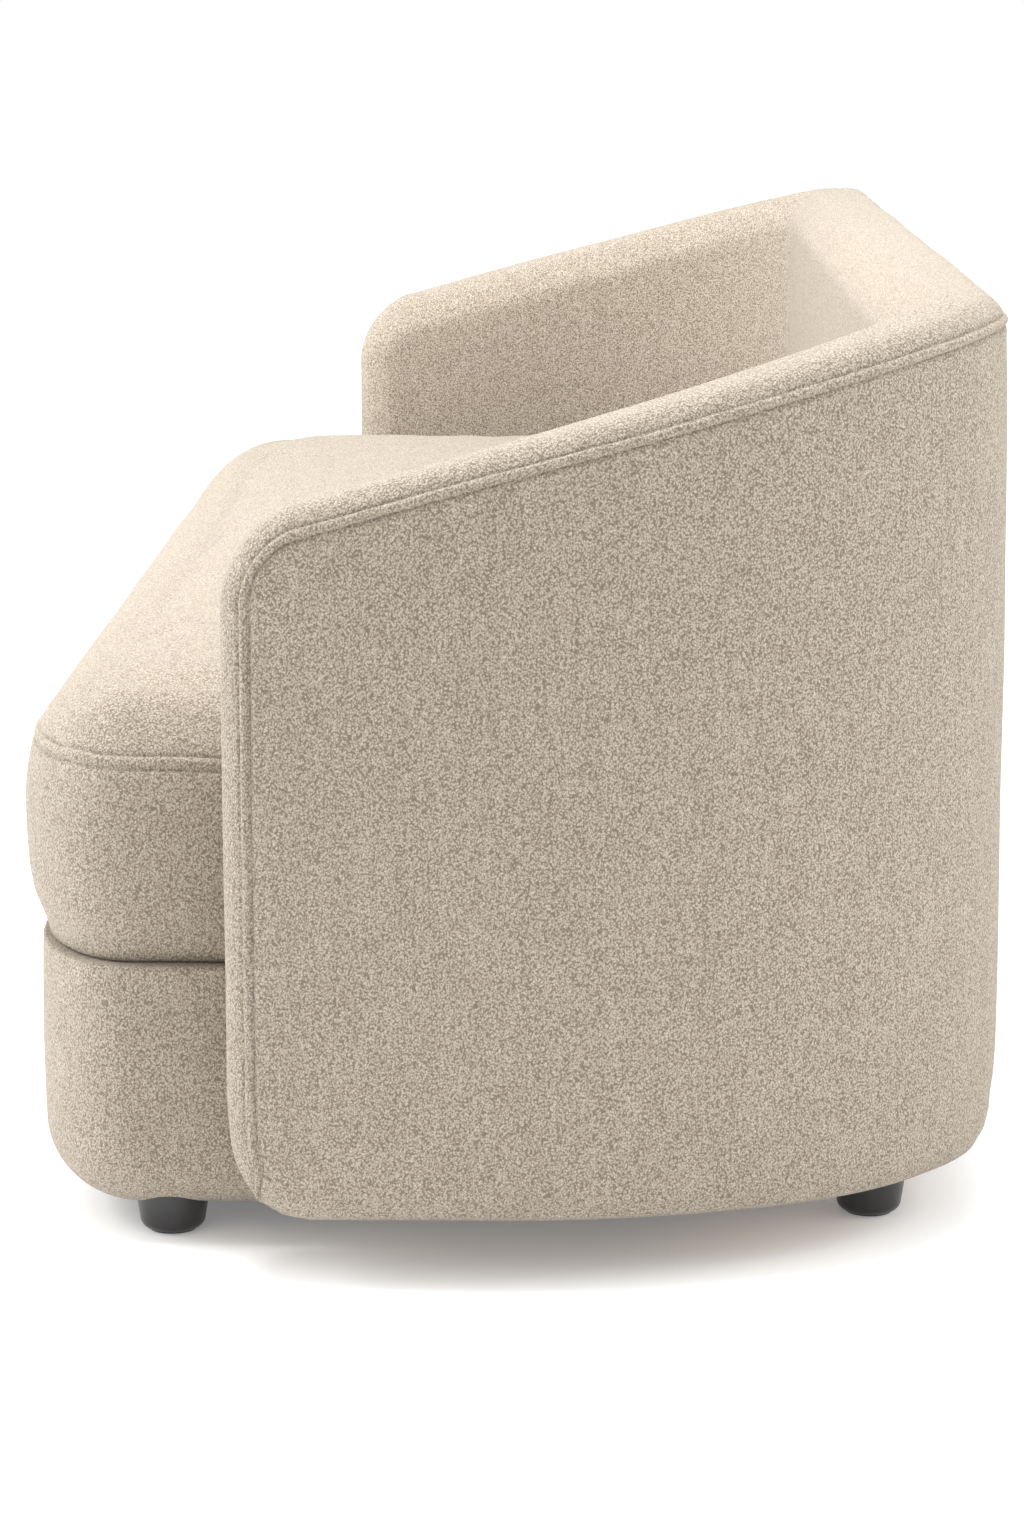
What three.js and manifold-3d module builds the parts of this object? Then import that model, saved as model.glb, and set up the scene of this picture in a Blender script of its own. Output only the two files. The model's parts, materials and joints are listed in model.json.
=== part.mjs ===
// An upholstered sofa: a wrap-round shell of arms and back, a plinth with the seat suspension in it,
// one long loose seat cushion and four low turned wooden feet.
// Millimetres. The origin is the middle of the footprint on the floor, +X runs along the seat,
// -Y is the front and +Z is up. Both halves are mirror images of each other across X = 0.
import * as THREE from "three";
import { mergeVertices } from "three/addons/utils/BufferGeometryUtils.js";
import Module from "manifold-3d";

const wasm = await Module();
wasm.setup();

// ---- Overall sizes ----
const LENGTH = 2000; // over the arms
const DEPTH = 777; // from the front of the cushion to the back of the shell
const HEIGHT = 731; // top of the backrest
const ARM_SETBACK = 180; // how far the arms start behind the front of the cushion

// ---- Wrap-round shell ----
const SHELL_THICKNESS = 90;
const SHELL_BOTTOM = 48; // height of its lower edge over the floor
const CREST_SLOPE = 0.28; // rise of the top edge for each millimetre towards the back
const CORNER_REACH_X = 250; // the rear corner is a quarter ellipse
const CORNER_REACH_Y = 400;
const ARM_CORNER_RADIUS = 59; // of the arm's outline, seen from the side
const ARM_FRONT_ROUND = 40; // of the arm's front edge, seen from above
const TOP_OUTER_RADIUS = 22;
const TOP_INNER_RADIUS = 45;
const BOTTOM_OUTER_ROUND = [24, 46]; // the tuck of the outside cover: inwards, upwards
const BOTTOM_INNER_RADIUS = 14;
const SEAM_SETBACK = 22; // from the shell's outline to the seam of the outside panel

// ---- Plinth and seat suspension ----
const PLINTH_BOTTOM = 24;
const PLINTH_INSET = 12; // behind the cushion's face, all round
const PLINTH_BOTTOM_RADIUS = 48;
const PLINTH_TOP_RADIUS = 10;
const PLINTH_FLANGE = 40; // width of cover turned under and over
const PLINTH_PADDING = 13;
const RAIL_THICKNESS = 25;
const RAIL_OVER_FEET = 6; // underside of the rails and blocks over the top of the feet
const BLOCK_THICKNESS = 34; // of the corner blocks and gussets
const REAR_RAIL_FROM_BACK = 90; // to its front face
const CROSS_MEMBER_X = 300;
const CROSS_MEMBER_DROP = 36; // its top below the rails' top
const STRAP_WIDTH = 70;
const STRAP_THICKNESS = 2;
const STRAP_X = [190, 560];
const DECK_PAD_THICKNESS = 27;

// ---- Seat cushion ----
const SEAT_BOTTOM = 224; // underside of the cushion over the floor
const SEAT_THICKNESS = 201;
const SEAT_SEAM_DROP = 47; // the top panel's seam below the cushion's top
const SEAT_GAP = 8; // between the cushion and the shell
const SEAT_CORNER_X = 180; // the front corners are quarter ellipses
const SEAT_CORNER_Y = 100;
const ZIP_LENGTH = 1000;
const ZIP_WIDTH = 14;
const ZIP_UP = 76; // middle of the zip above the cushion's underside
const ZIP_TAPE_THICKNESS = 1.8;
const SLIDER_SIZE = [13, 4.6, 9];

// ---- Feet ----
const FOOT_HEIGHT = 50;
const FOOT_TOP_RADIUS = 31;
const FOOT_BOTTOM_RADIUS = 26;
const FOOT_EDGE_RADIUS = 10;
const FOOT_INBOARD = [150, 205]; // from the end of the sofa to the axis: front, rear
const FRONT_FOOT_AHEAD = 56; // ahead of the front of the arms
const REAR_FOOT_FROM_BACK = 98;
const BOLT_RADIUS = 5;
const BOLT_BURIED = 30; // length in the foot

// ---- Sheet thicknesses and clearances ----
const COVER = 2.5;
const FIT = 0.4; // between pieces that touch
const CURVE_FIT = 1.1; // between pieces that follow each other round a curve
const WADDING = 5.5;
const PANEL = 8; // bent plywood
const FRAME_DEPTH = 32; // posts and rails of the shell
const POST_WIDTH = 45;
const RAIL_HEIGHT = 28;
const HOLE_CLEARANCE = 0.4;

// ---- Levels and lines worked out from them ----
const FRONT_Y = -DEPTH / 2;
const BACK_Y = DEPTH / 2;
const ARM_FRONT_Y = FRONT_Y + ARM_SETBACK;
const CORNER_START_Y = BACK_Y - CORNER_REACH_Y;
const SIDE_RUN = CORNER_START_Y - ARM_FRONT_Y;
const REAR_RAIL_Y = BACK_Y - REAR_RAIL_FROM_BACK;
const RAIL_BOTTOM = FOOT_HEIGHT + RAIL_OVER_FEET;
const GUSSET_TOP = RAIL_BOTTOM + BLOCK_THICKNESS;
const SEAT_TOP = SEAT_BOTTOM + SEAT_THICKNESS;
const SEAT_SEAM_Z = SEAT_TOP - SEAT_SEAM_DROP;
const ZIP_Z = SEAT_BOTTOM + ZIP_UP;
const PLINTH_TOP = SEAT_BOTTOM - 1.5; // the cushion rests on the plinth's rim
const DECK_PAD_TOP = PLINTH_TOP - 5.5;
const DECK_PAD_BOTTOM = DECK_PAD_TOP - DECK_PAD_THICKNESS;
const RAIL_TOP = DECK_PAD_BOTTOM - STRAP_THICKNESS - 2;
const INNER_SKIN_BOTTOM = DECK_PAD_BOTTOM + 5; // the inside cover is pulled through at deck height
const PAD = COVER + CURVE_FIT; // depth at which the padding starts
const PANEL_AT = PAD + WADDING + FIT;
const FRAME_AT = PANEL_AT + PANEL + 2 * CURVE_FIT;
const FOAM_AT = FRAME_AT + FRAME_DEPTH + 2 * CURVE_FIT;
const FRONT_PAD_DEPTH = ARM_FRONT_ROUND + 2; // foam on the front end of each arm
const TOP_PAD_DEPTH = 30; // foam over the top rail

// ---- Materials ----
const finish = (color, roughness, metalness = 0) =>
  new THREE.MeshStandardMaterial({ color, roughness, metalness });
const BOUCLE = finish(0xcdc3b2, 0.95);
const FOAM = finish(0xe8dfae, 0.9);
const WADDING_FINISH = finish(0xf2f1ec, 0.95);
const BLACK_WOOD = finish(0x17161a, 0.45);
const PINE = finish(0xcaa878, 0.7);
const PLYWOOD = finish(0xb99162, 0.65);
const STEEL = finish(0xa9abae, 0.35, 0.9);
const WEBBING = finish(0x8c8375, 0.8);
const BLACK_CLOTH = finish(0x26262a, 0.9);
const ZIP_PLASTIC = finish(0xb8ad9b, 0.5);

const sofa = new THREE.Group();

function add(name, geometry, material) {
  const mesh = new THREE.Mesh(geometry, material);
  mesh.name = name;
  sofa.add(mesh);
}

// ---- Solids and booleans ----
function solidOf(geometry) {
  const bare = geometry.clone();
  bare.deleteAttribute("normal");
  bare.deleteAttribute("uv");
  const merged = mergeVertices(bare, 1e-4);
  return new wasm.Manifold(
    new wasm.Mesh({
      numProp: 3,
      vertProperties: merged.attributes.position.array,
      triVerts: new Uint32Array(merged.index.array),
    }),
  );
}

function geometryOf(solid) {
  const mesh = solid.getMesh();
  const geometry = new THREE.BufferGeometry();
  geometry.setAttribute("position", new THREE.BufferAttribute(mesh.vertProperties, 3));
  geometry.setIndex(new THREE.BufferAttribute(mesh.triVerts, 1));
  geometry.computeVertexNormals();
  return geometry;
}

const cut = (a, ...tools) =>
  geometryOf(tools.reduce((left, tool) => left.subtract(solidOf(tool)), solidOf(a)));
const common = (a, b) => geometryOf(solidOf(a).intersect(solidOf(b)));
const join = (a, b) => geometryOf(solidOf(a).add(solidOf(b)));

// A closed body through a row of rings. Each ring is { points, flat }: its points in space, and the
// same points in its own plane, which the end caps are filled from.
function loft(rings) {
  const n = rings[0].points.length;
  const position = rings.flatMap((ring) => ring.points.flat());
  const index = [];
  for (let i = 0; i + 1 < rings.length; i++)
    for (let j = 0; j < n; j++) {
      const a = i * n + j;
      const b = i * n + ((j + 1) % n);
      index.push(a, b, b + n, a, b + n, a + n);
    }
  // The triangulation has a winding of its own, so each cap's triangles are turned to match its ring.
  const cap = (ring) => {
    const contour = ring.flat.map(([u, v]) => new THREE.Vector2(u, v));
    const turns = Math.sign(THREE.ShapeUtils.area(contour));
    return THREE.ShapeUtils.triangulateShape(contour, []).map(([a, b, c]) =>
      THREE.ShapeUtils.area([contour[a], contour[b], contour[c]]) * turns > 0
        ? [a, b, c]
        : [a, c, b],
    );
  };
  for (const [a, b, c] of cap(rings[0])) index.push(a, c, b);
  const last = (rings.length - 1) * n;
  for (const [a, b, c] of cap(rings.at(-1))) index.push(last + a, last + b, last + c);
  const geometry = new THREE.BufferGeometry();
  geometry.setAttribute("position", new THREE.Float32BufferAttribute(position, 3));
  geometry.setIndex(index);
  return outward(geometry);
}

// Turns a closed body's faces round if they point inwards.
function outward(geometry) {
  const p = geometry.attributes.position;
  const index = geometry.index.array;
  const [a, b, c] = [new THREE.Vector3(), new THREE.Vector3(), new THREE.Vector3()];
  let volume = 0;
  for (let i = 0; i < index.length; i += 3) {
    a.fromBufferAttribute(p, index[i]);
    b.fromBufferAttribute(p, index[i + 1]);
    c.fromBufferAttribute(p, index[i + 2]);
    volume += a.dot(b.cross(c));
  }
  if (volume < 0)
    for (let i = 0; i < index.length; i += 3)
      [index[i + 1], index[i + 2]] = [index[i + 2], index[i + 1]];
  geometry.computeVertexNormals();
  return geometry;
}

function box(x0, x1, y0, y1, z0, z1) {
  const geometry = new THREE.BoxGeometry(x1 - x0, y1 - y0, z1 - z0);
  geometry.translate((x0 + x1) / 2, (y0 + y1) / 2, (z0 + z1) / 2);
  return geometry;
}

function slab(outline, z0, z1) {
  const shape = new THREE.Shape(outline.map(([x, y]) => new THREE.Vector2(x, y)));
  const geometry = new THREE.ExtrudeGeometry(shape, { depth: z1 - z0, bevelEnabled: false });
  geometry.translate(0, 0, z0);
  return geometry;
}

function post(x, y, radius, z0, z1) {
  const geometry = new THREE.CylinderGeometry(radius, radius, z1 - z0, 16);
  geometry.rotateX(Math.PI / 2);
  geometry.translate(x, y, (z0 + z1) / 2);
  return geometry;
}

function mirrorX(geometry) {
  const copy = geometry.clone();
  copy.scale(-1, 1, 1);
  if (!copy.index) copy.setIndex([...Array(copy.attributes.position.count).keys()]);
  return outward(copy);
}

// ---- The shell's plan ----
// A station is a point on the shell's outer outline: its place, the direction inwards, and its
// distance from the nearest arm front, measured along the outline.
const mirrored = (s) => ({ ...s, x: -s.x, nx: -s.nx });

const sideStation = (front) => ({
  x: LENGTH / 2,
  y: ARM_FRONT_Y + front,
  nx: -1,
  ny: 0,
  front,
});

function cornerStation(share) {
  const angle = (share * Math.PI) / 2;
  const nx = -Math.cos(angle) / CORNER_REACH_X;
  const ny = -Math.sin(angle) / CORNER_REACH_Y;
  const length = Math.hypot(nx, ny);
  return {
    x: LENGTH / 2 - CORNER_REACH_X + CORNER_REACH_X * Math.cos(angle),
    y: CORNER_START_Y + CORNER_REACH_Y * Math.sin(angle),
    nx: nx / length,
    ny: ny / length,
    front: SIDE_RUN + CORNER_REACH_Y * share,
  };
}

const CORNER_STEPS = 10;
const FRONT_STEPS = 5;
const range = (count) => [...Array(count).keys()];
const cornerRun = (from, to, steps) =>
  range(steps + 1).map((i) => cornerStation(from + ((to - from) * i) / steps));

// Stations along the straight side, close together where the arm's front end is rounded.
function sideRun(start, end, radius) {
  const rounded = range(FRONT_STEPS + 1)
    .map((i) => radius * (1 - Math.cos((i * Math.PI) / 2 / FRONT_STEPS)))
    .map((step, i) => start + (i === 0 ? 0 : step));
  return [...rounded.filter((f) => f < end - 1), end].map(sideStation);
}

const crest = (station, depth) =>
  HEIGHT - CREST_SLOPE * (BACK_Y - SHELL_THICKNESS / 2 - (station.y + station.ny * depth));

// How much a rounded end takes off at a distance from it.
const endDrop = (distance, radius) => {
  const short = Math.max(0, radius - distance);
  return radius - Math.sqrt(Math.max(0, radius * radius - short * short));
};

// The shell's upper and lower edges at a station, moved in by an offset.
function edges(station, offset) {
  const drop = endDrop(station.front - offset, ARM_CORNER_RADIUS - offset);
  return {
    top: crest(station, SHELL_THICKNESS / 2) - offset - drop,
    bottom: SHELL_BOTTOM + offset + drop,
  };
}

// A quarter ellipse in the (depth, z) plane, from one edge to the next.
function roundCorner([cd, cz], [rd, rz], from, steps = 4) {
  return range(steps + 1).map((i) => {
    const angle = from - (i * Math.PI) / 2 / steps;
    return [cd + rd * Math.cos(angle), cz + rz * Math.sin(angle)];
  });
}

// The section of the shell at a station, moved in by an offset, clockwise from the outer top corner.
function section(station, offset) {
  const ends = endDrop(station.front - offset, ARM_FRONT_ROUND - offset);
  const d0 = offset + ends;
  const d1 = SHELL_THICKNESS - offset - ends;
  const { top, bottom } = edges(station, offset);
  const most = (d1 - d0) / 2 - 0.5;
  const fit = (radius) => Math.max(1, Math.min(radius - offset, most));
  const [ro, ri] = [fit(TOP_OUTER_RADIUS), fit(TOP_INNER_RADIUS)];
  const rb = [fit(BOTTOM_OUTER_ROUND[0]), BOTTOM_OUTER_ROUND[1] - offset];
  const rbi = fit(BOTTOM_INNER_RADIUS);
  return [
    ...roundCorner([d0 + ro, top - ro], [ro, ro], Math.PI),
    ...roundCorner([d1 - ri, top - ri], [ri, ri], Math.PI / 2),
    ...roundCorner([d1 - rbi, bottom + rbi], [rbi, rbi], 0),
    ...roundCorner([d0 + rb[0], bottom + rb[1]], rb, -Math.PI / 2),
  ];
}

const onStation = (s, flat) => ({
  flat,
  points: flat.map(([d, z]) => [s.x + s.nx * d, s.y + s.ny * d, z]),
});

const loftAlong = (stations, sectionAt) =>
  loft(stations.map((s) => onStation(s, sectionAt(s))));

function wholeShell(offset) {
  const half = [
    ...sideRun(offset, SIDE_RUN, ARM_CORNER_RADIUS - offset),
    ...cornerRun(0, 1, CORNER_STEPS).slice(1),
  ];
  return loftAlong([...half, ...half.map(mirrored).reverse()], (s) =>
    section(s, offset),
  );
}

// A piece of the shell between two depths, with plain square edges.
function strip(stations, d0, d1, bottomOf, topOf) {
  return loftAlong(stations, (s) => [
    [d0, topOf(s)],
    [d1, topOf(s)],
    [d1, bottomOf(s)],
    [d0, bottomOf(s)],
  ]);
}

// ---- Covers of the shell ----
// Both are fixed under the bottom rail, which leaves a slot between them along the underside.
const OPEN_BELOW = SHELL_BOTTOM - 30;
const UNDERSIDE_SLOT = [36, 72]; // depths
const slotHalf = [
  ...[FRONT_PAD_DEPTH, SIDE_RUN].map(sideStation),
  ...cornerRun(0, 1, CORNER_STEPS).slice(1),
];
const slot = strip(
  [...slotHalf, ...slotHalf.map(mirrored).reverse()],
  ...UNDERSIDE_SLOT,
  () => OPEN_BELOW,
  () => SHELL_BOTTOM + 30,
);
const skin = cut(wholeShell(0), wholeShell(COVER), slot);

// The room of the outside panel: everything behind the seam that runs round the shell's edge.
function outsidePanelRoom(grow) {
  const setback = SEAM_SETBACK - grow;
  const radius = ARM_CORNER_RADIUS - setback;
  const half = [
    ...sideRun(setback, SIDE_RUN, radius),
    ...cornerRun(0, 1, CORNER_STEPS).slice(1),
  ];
  return loftAlong([...half, ...half.map(mirrored).reverse()], (s) => {
    const top = edges(s, setback).top;
    return [
      [-10, top],
      [SHELL_THICKNESS / 2, top],
      [SHELL_THICKNESS / 2, OPEN_BELOW],
      [-10, OPEN_BELOW],
    ];
  });
}

// Below the deck the inside cover stops, except on the front end of each arm.
const innerStart = FRONT_PAD_DEPTH + 30;
const innerHalf = [
  ...[innerStart, SIDE_RUN].map(sideStation),
  ...cornerRun(0, 1, CORNER_STEPS).slice(1),
];
const belowDeck = strip(
  [...innerHalf, ...innerHalf.map(mirrored).reverse()],
  SHELL_THICKNESS / 2 + 1,
  SHELL_THICKNESS + 10,
  () => OPEN_BELOW,
  () => INNER_SKIN_BOTTOM,
);
add("outside_cover", common(skin, outsidePanelRoom(0)), BOUCLE);
add("inside_cover", cut(skin, outsidePanelRoom(FIT), belowDeck), BOUCLE);

// ---- Padding of the shell ----
const UNDER_TOP_PAD = (s) => edges(s, TOP_PAD_DEPTH + FIT).top;
const sidePiece = (start) => sideRun(start, SIDE_RUN - FIT, ARM_CORNER_RADIUS - start);
const cornerPiece = cornerRun(0.004, 0.996, CORNER_STEPS);
const backHalf = LENGTH / 2 - CORNER_REACH_X - FIT;
const backStation = (x) => ({ ...cornerStation(1), x });
const backPiece = [backStation(backHalf), backStation(-backHalf)];
const behindPad = FRONT_PAD_DEPTH + FIT;

// Inside foam that also laps over the top rail, as an upside-down L.
function foamSection(s) {
  const inner = section(s, PAD);
  const { top } = edges(s, PAD);
  const under = UNDER_TOP_PAD(s) + CURVE_FIT;
  const lap = inner.slice(0, 10).filter(([d]) => d > PANEL_AT);
  const missing = 10 - lap.length;
  const shoulder = lap[0][1] - (lap[0][0] - PANEL_AT);
  return [
    [PANEL_AT, under],
    ...range(missing).map((i) => [
      PANEL_AT,
      under + ((shoulder - under) * (i + 1)) / missing,
    ]),
    ...lap.map(([d, z]) => [d, Math.min(z, top)]),
    [SHELL_THICKNESS - PAD, INNER_SKIN_BOTTOM],
    [FOAM_AT, INNER_SKIN_BOTTOM],
    [FOAM_AT, under],
  ];
}
const armFoam = loftAlong(sidePiece(behindPad), foamSection);
const cornerFoam = loftAlong(cornerPiece, foamSection);
add("back_foam", loftAlong(backPiece, foamSection), FOAM);

// The foam on the end of an arm fills its whole rounded section.
const END_PAD = PAD + FIT;
const frontPad = loftAlong(
  sideRun(END_PAD, FRONT_PAD_DEPTH, ARM_CORNER_RADIUS - END_PAD),
  (s) => section(s, END_PAD),
);

const waddingTop = (s) => edges(s, TOP_OUTER_RADIUS + COVER).top;
const waddingHalf = [...sidePiece(behindPad), ...cornerRun(0, 1, CORNER_STEPS).slice(1)];
add(
  "outside_wadding",
  strip(
    [...waddingHalf, ...waddingHalf.map(mirrored).reverse()],
    PAD,
    PAD + WADDING,
    (s) => SHELL_BOTTOM + BOTTOM_OUTER_ROUND[1] + 2 + endDrop(s.front, ARM_CORNER_RADIUS),
    waddingTop,
  ),
  WADDING_FINISH,
);

// ---- Plywood and timber of the shell ----
const PANEL_BOTTOM = SHELL_BOTTOM + BOTTOM_OUTER_ROUND[1] / 2;
const BOTTOM_RAIL_Z = SHELL_BOTTOM + 16;
const panelOf = (stations) =>
  strip(
    stations,
    PANEL_AT,
    PANEL_AT + PANEL,
    (s) => PANEL_BOTTOM + endDrop(s.front, ARM_CORNER_RADIUS),
    (s) => UNDER_TOP_PAD(s),
  );
const topRail = (stations) =>
  strip(
    stations,
    FRAME_AT,
    FRAME_AT + FRAME_DEPTH,
    (s) => UNDER_TOP_PAD(s) - RAIL_HEIGHT,
    (s) => UNDER_TOP_PAD(s),
  );
const bottomRail = (stations) =>
  strip(
    stations,
    FRAME_AT + FRAME_DEPTH - 24,
    FRAME_AT + FRAME_DEPTH,
    (s) => BOTTOM_RAIL_Z + endDrop(s.front, ARM_CORNER_RADIUS),
    (s) => BOTTOM_RAIL_Z + RAIL_HEIGHT + 12 + endDrop(s.front, ARM_CORNER_RADIUS),
  );
const postOf = (stations) =>
  strip(
    stations,
    FRAME_AT,
    FRAME_AT + FRAME_DEPTH,
    (s) => BOTTOM_RAIL_Z + RAIL_HEIGHT + 12 + FIT + endDrop(s.front, ARM_CORNER_RADIUS),
    (s) => UNDER_TOP_PAD(s) - RAIL_HEIGHT - CURVE_FIT,
  );

const postShare = POST_WIDTH / 2 / CORNER_REACH_Y;
const halves = {
  arm_foam: [armFoam, FOAM],
  corner_foam: [cornerFoam, FOAM],
  arm_front_pad: [frontPad, FOAM],
  arm_panel: [panelOf(sidePiece(behindPad)), PLYWOOD],
  corner_panel: [panelOf(cornerPiece), PLYWOOD],
  arm_top_rail: [topRail(sidePiece(behindPad)), PINE],
  arm_bottom_rail: [bottomRail(sidePiece(behindPad)), PINE],
  arm_front_post: [postOf([behindPad, behindPad + POST_WIDTH].map(sideStation)), PINE],
  corner_post: [postOf(cornerRun(0.5 - postShare, 0.5 + postShare, 2)), PINE],
};
for (const [name, [geometry, material]] of Object.entries(halves)) {
  add("right_" + name, geometry, material);
  add("left_" + name, mirrorX(geometry), material);
}

const backRun = [...cornerPiece, ...cornerPiece.map(mirrored).reverse()];
add("back_panel", panelOf(backPiece), PLYWOOD);
add("back_top_rail", topRail(backRun), PINE);
add("back_bottom_rail", bottomRail(backRun), PINE);
add(
  "back_centre_post",
  postOf([POST_WIDTH / 2, -POST_WIDTH / 2].map(backStation)),
  PINE,
);

// ---- Plan of the seat ----
// Between the arms it follows the shell's outline at a depth; in front of them it ends in two rounded
// corners. Both are moved in by the same inset.
function seatOutline(depth, setback, inset) {
  const d = depth + inset;
  const front = FRONT_Y + setback + inset;
  const rx = SEAT_CORNER_X - setback - inset;
  const ry = SEAT_CORNER_Y - setback - inset;
  const half = LENGTH / 2 - d;
  const cornerSteps = 8;
  const right = range(cornerSteps + 1).map((i) => {
    const angle = -Math.PI / 2 + (i * Math.PI) / 2 / cornerSteps;
    return [half - rx + rx * Math.cos(angle), front + ry + ry * Math.sin(angle)];
  });
  // Deep in, the tight end of the quarter ellipse would double back, so the line runs straight there.
  cornerRun(0, 1, CORNER_STEPS).forEach((s, i) => {
    const backEnd = LENGTH / 2 - CORNER_REACH_X + (CORNER_STEPS - i) * 0.1;
    right.push([Math.max(s.x + s.nx * d, backEnd), s.y + s.ny * d]);
  });
  return [...right, ...right.map(([x, y]) => [-x, y]).reverse()];
}

const PLINTH_DEPTH = SHELL_THICKNESS + PLINTH_INSET;
const plinthPlan = (inset) => seatOutline(PLINTH_DEPTH, PLINTH_INSET, inset);

// ---- Feet ----
const SIDES = { right: 1, left: -1 };
const footPlaces = {
  front: [LENGTH / 2 - FOOT_INBOARD[0], ARM_FRONT_Y - FRONT_FOOT_AHEAD],
  rear: [LENGTH / 2 - FOOT_INBOARD[1], BACK_Y - REAR_FOOT_FROM_BACK],
};
const boltHole = (x, y, z0, z1) => post(x, y, BOLT_RADIUS + HOLE_CLEARANCE, z0, z1);

function footProfile() {
  const edge = range(5).map((i) => {
    const angle = -Math.PI / 2 + (i * Math.PI) / 8;
    return [
      FOOT_BOTTOM_RADIUS - FOOT_EDGE_RADIUS + FOOT_EDGE_RADIUS * Math.cos(angle),
      FOOT_EDGE_RADIUS + FOOT_EDGE_RADIUS * Math.sin(angle),
    ];
  });
  return [[0, 0], ...edge, [FOOT_TOP_RADIUS, FOOT_HEIGHT], [0, FOOT_HEIGHT]];
}
const turnedFoot = new THREE.LatheGeometry(
  footProfile().map(([r, z]) => new THREE.Vector2(r, z)),
  32,
);
turnedFoot.rotateX(Math.PI / 2);
const BOLT_BOTTOM = FOOT_HEIGHT - BOLT_BURIED;

for (const [side, sign] of Object.entries(SIDES))
  for (const [place, [x, y]] of Object.entries(footPlaces)) {
    const foot = turnedFoot.clone().translate(sign * x, y, 0);
    const hole = boltHole(sign * x, y, BOLT_BOTTOM - 1, FOOT_HEIGHT + 1);
    add(`${side}_${place}_foot`, cut(foot, hole), BLACK_WOOD);
    add(
      `${side}_${place}_foot_bolt`,
      post(sign * x, y, BOLT_RADIUS, BOLT_BOTTOM, GUSSET_TOP - 5),
      STEEL,
    );
  }

// ---- Base frame ----
const [frontFootX, frontFootY] = footPlaces.front;
const [rearFootX, rearFootY] = footPlaces.rear;
const railInset = PLINTH_PADDING + COVER + 5;
const railFront = FRONT_Y + PLINTH_INSET + railInset + 2;
const frontRailHalf = LENGTH / 2 - PLINTH_DEPTH - SEAT_CORNER_X + PLINTH_INSET;
const sideRailX = LENGTH / 2 - FRAME_AT - FRAME_DEPTH - 30;
const blockEnd = ARM_FRONT_Y + innerStart + 6;
const gussetStart = rearFootY - 134;
const gussetInner = rearFootX - 105;

// Front corner block: follows the rounded plinth corner, and reaches out under the arm.
const cornerBlock = join(
  common(
    slab(plinthPlan(railInset), RAIL_BOTTOM, GUSSET_TOP),
    box(frontRailHalf + 1, LENGTH / 2, railFront + 18, blockEnd + 10, 0, HEIGHT),
  ),
  box(frontRailHalf + 60, sideRailX, blockEnd, blockEnd + 70, RAIL_BOTTOM, GUSSET_TOP),
);
const gusset = common(
  slab(seatOutline(FRAME_AT + FRAME_DEPTH + 1, PLINTH_INSET, 0), RAIL_BOTTOM, GUSSET_TOP),
  box(gussetInner, LENGTH / 2, gussetStart, BACK_Y, 0, HEIGHT),
);
const baseHalves = {
  front_corner_block: cut(
    cornerBlock,
    boltHole(frontFootX, frontFootY, RAIL_BOTTOM - 1, GUSSET_TOP + 1),
  ),
  rear_gusset: cut(gusset, boltHole(rearFootX, rearFootY, RAIL_BOTTOM - 1, GUSSET_TOP + 1)),
  side_rail: box(
    sideRailX - RAIL_THICKNESS,
    sideRailX,
    blockEnd + 70 + FIT,
    gussetStart - FIT,
    RAIL_BOTTOM,
    RAIL_TOP,
  ),
  cross_member: box(
    CROSS_MEMBER_X - RAIL_THICKNESS / 2,
    CROSS_MEMBER_X + RAIL_THICKNESS / 2,
    railFront + RAIL_THICKNESS + FIT,
    REAR_RAIL_Y - FIT,
    RAIL_BOTTOM,
    RAIL_TOP - CROSS_MEMBER_DROP,
  ),
};
for (const [name, geometry] of Object.entries(baseHalves)) {
  add("right_" + name, geometry, PINE);
  add("left_" + name, mirrorX(geometry), PINE);
}
add(
  "front_rail",
  box(-frontRailHalf, frontRailHalf, railFront, railFront + RAIL_THICKNESS, RAIL_BOTTOM, RAIL_TOP),
  PINE,
);
add(
  "rear_rail",
  box(
    -gussetInner + FIT,
    gussetInner - FIT,
    REAR_RAIL_Y,
    REAR_RAIL_Y + RAIL_THICKNESS,
    RAIL_BOTTOM,
    RAIL_TOP,
  ),
  PINE,
);

// ---- Seat suspension ----
const strapBottom = RAIL_TOP + FIT;
const straps = STRAP_X.flatMap((x) => [x, -x]).sort((a, b) => a - b);
straps.forEach((x, i) => {
  add(
    `seat_strap_${i + 1}`,
    box(
      x - STRAP_WIDTH / 2,
      x + STRAP_WIDTH / 2,
      railFront,
      REAR_RAIL_Y + RAIL_THICKNESS,
      strapBottom,
      strapBottom + STRAP_THICKNESS,
    ),
    WEBBING,
  );
});
const deckInset = PLINTH_PADDING + PAD + 2 * FIT;
add("deck_pad", slab(plinthPlan(deckInset), DECK_PAD_BOTTOM, DECK_PAD_TOP), FOAM);
add(
  "deck_cloth",
  slab(plinthPlan(deckInset), DECK_PAD_TOP + FIT, DECK_PAD_TOP + FIT + 1.5),
  BLACK_CLOTH,
);

// ---- Plinth cover and padding ----
// Stations of the plinth's face, from between the arms on one side round the front to the other.
const plinthStart = ARM_FRONT_Y + 25;
function plinthStations() {
  const outline = plinthPlan(0);
  const inner = plinthPlan(10);
  const cornerPoints = 9;
  const right = range(cornerPoints).map((i) => {
    const [x, y] = outline[i];
    const length = Math.hypot(inner[i][0] - x, inner[i][1] - y);
    return { x, y, nx: (inner[i][0] - x) / length, ny: (inner[i][1] - y) / length };
  });
  right.push({ x: outline[cornerPoints - 1][0], y: plinthStart, nx: -1, ny: 0 });
  return [...right.slice().reverse(), ...right.map(mirrored)];
}

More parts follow.
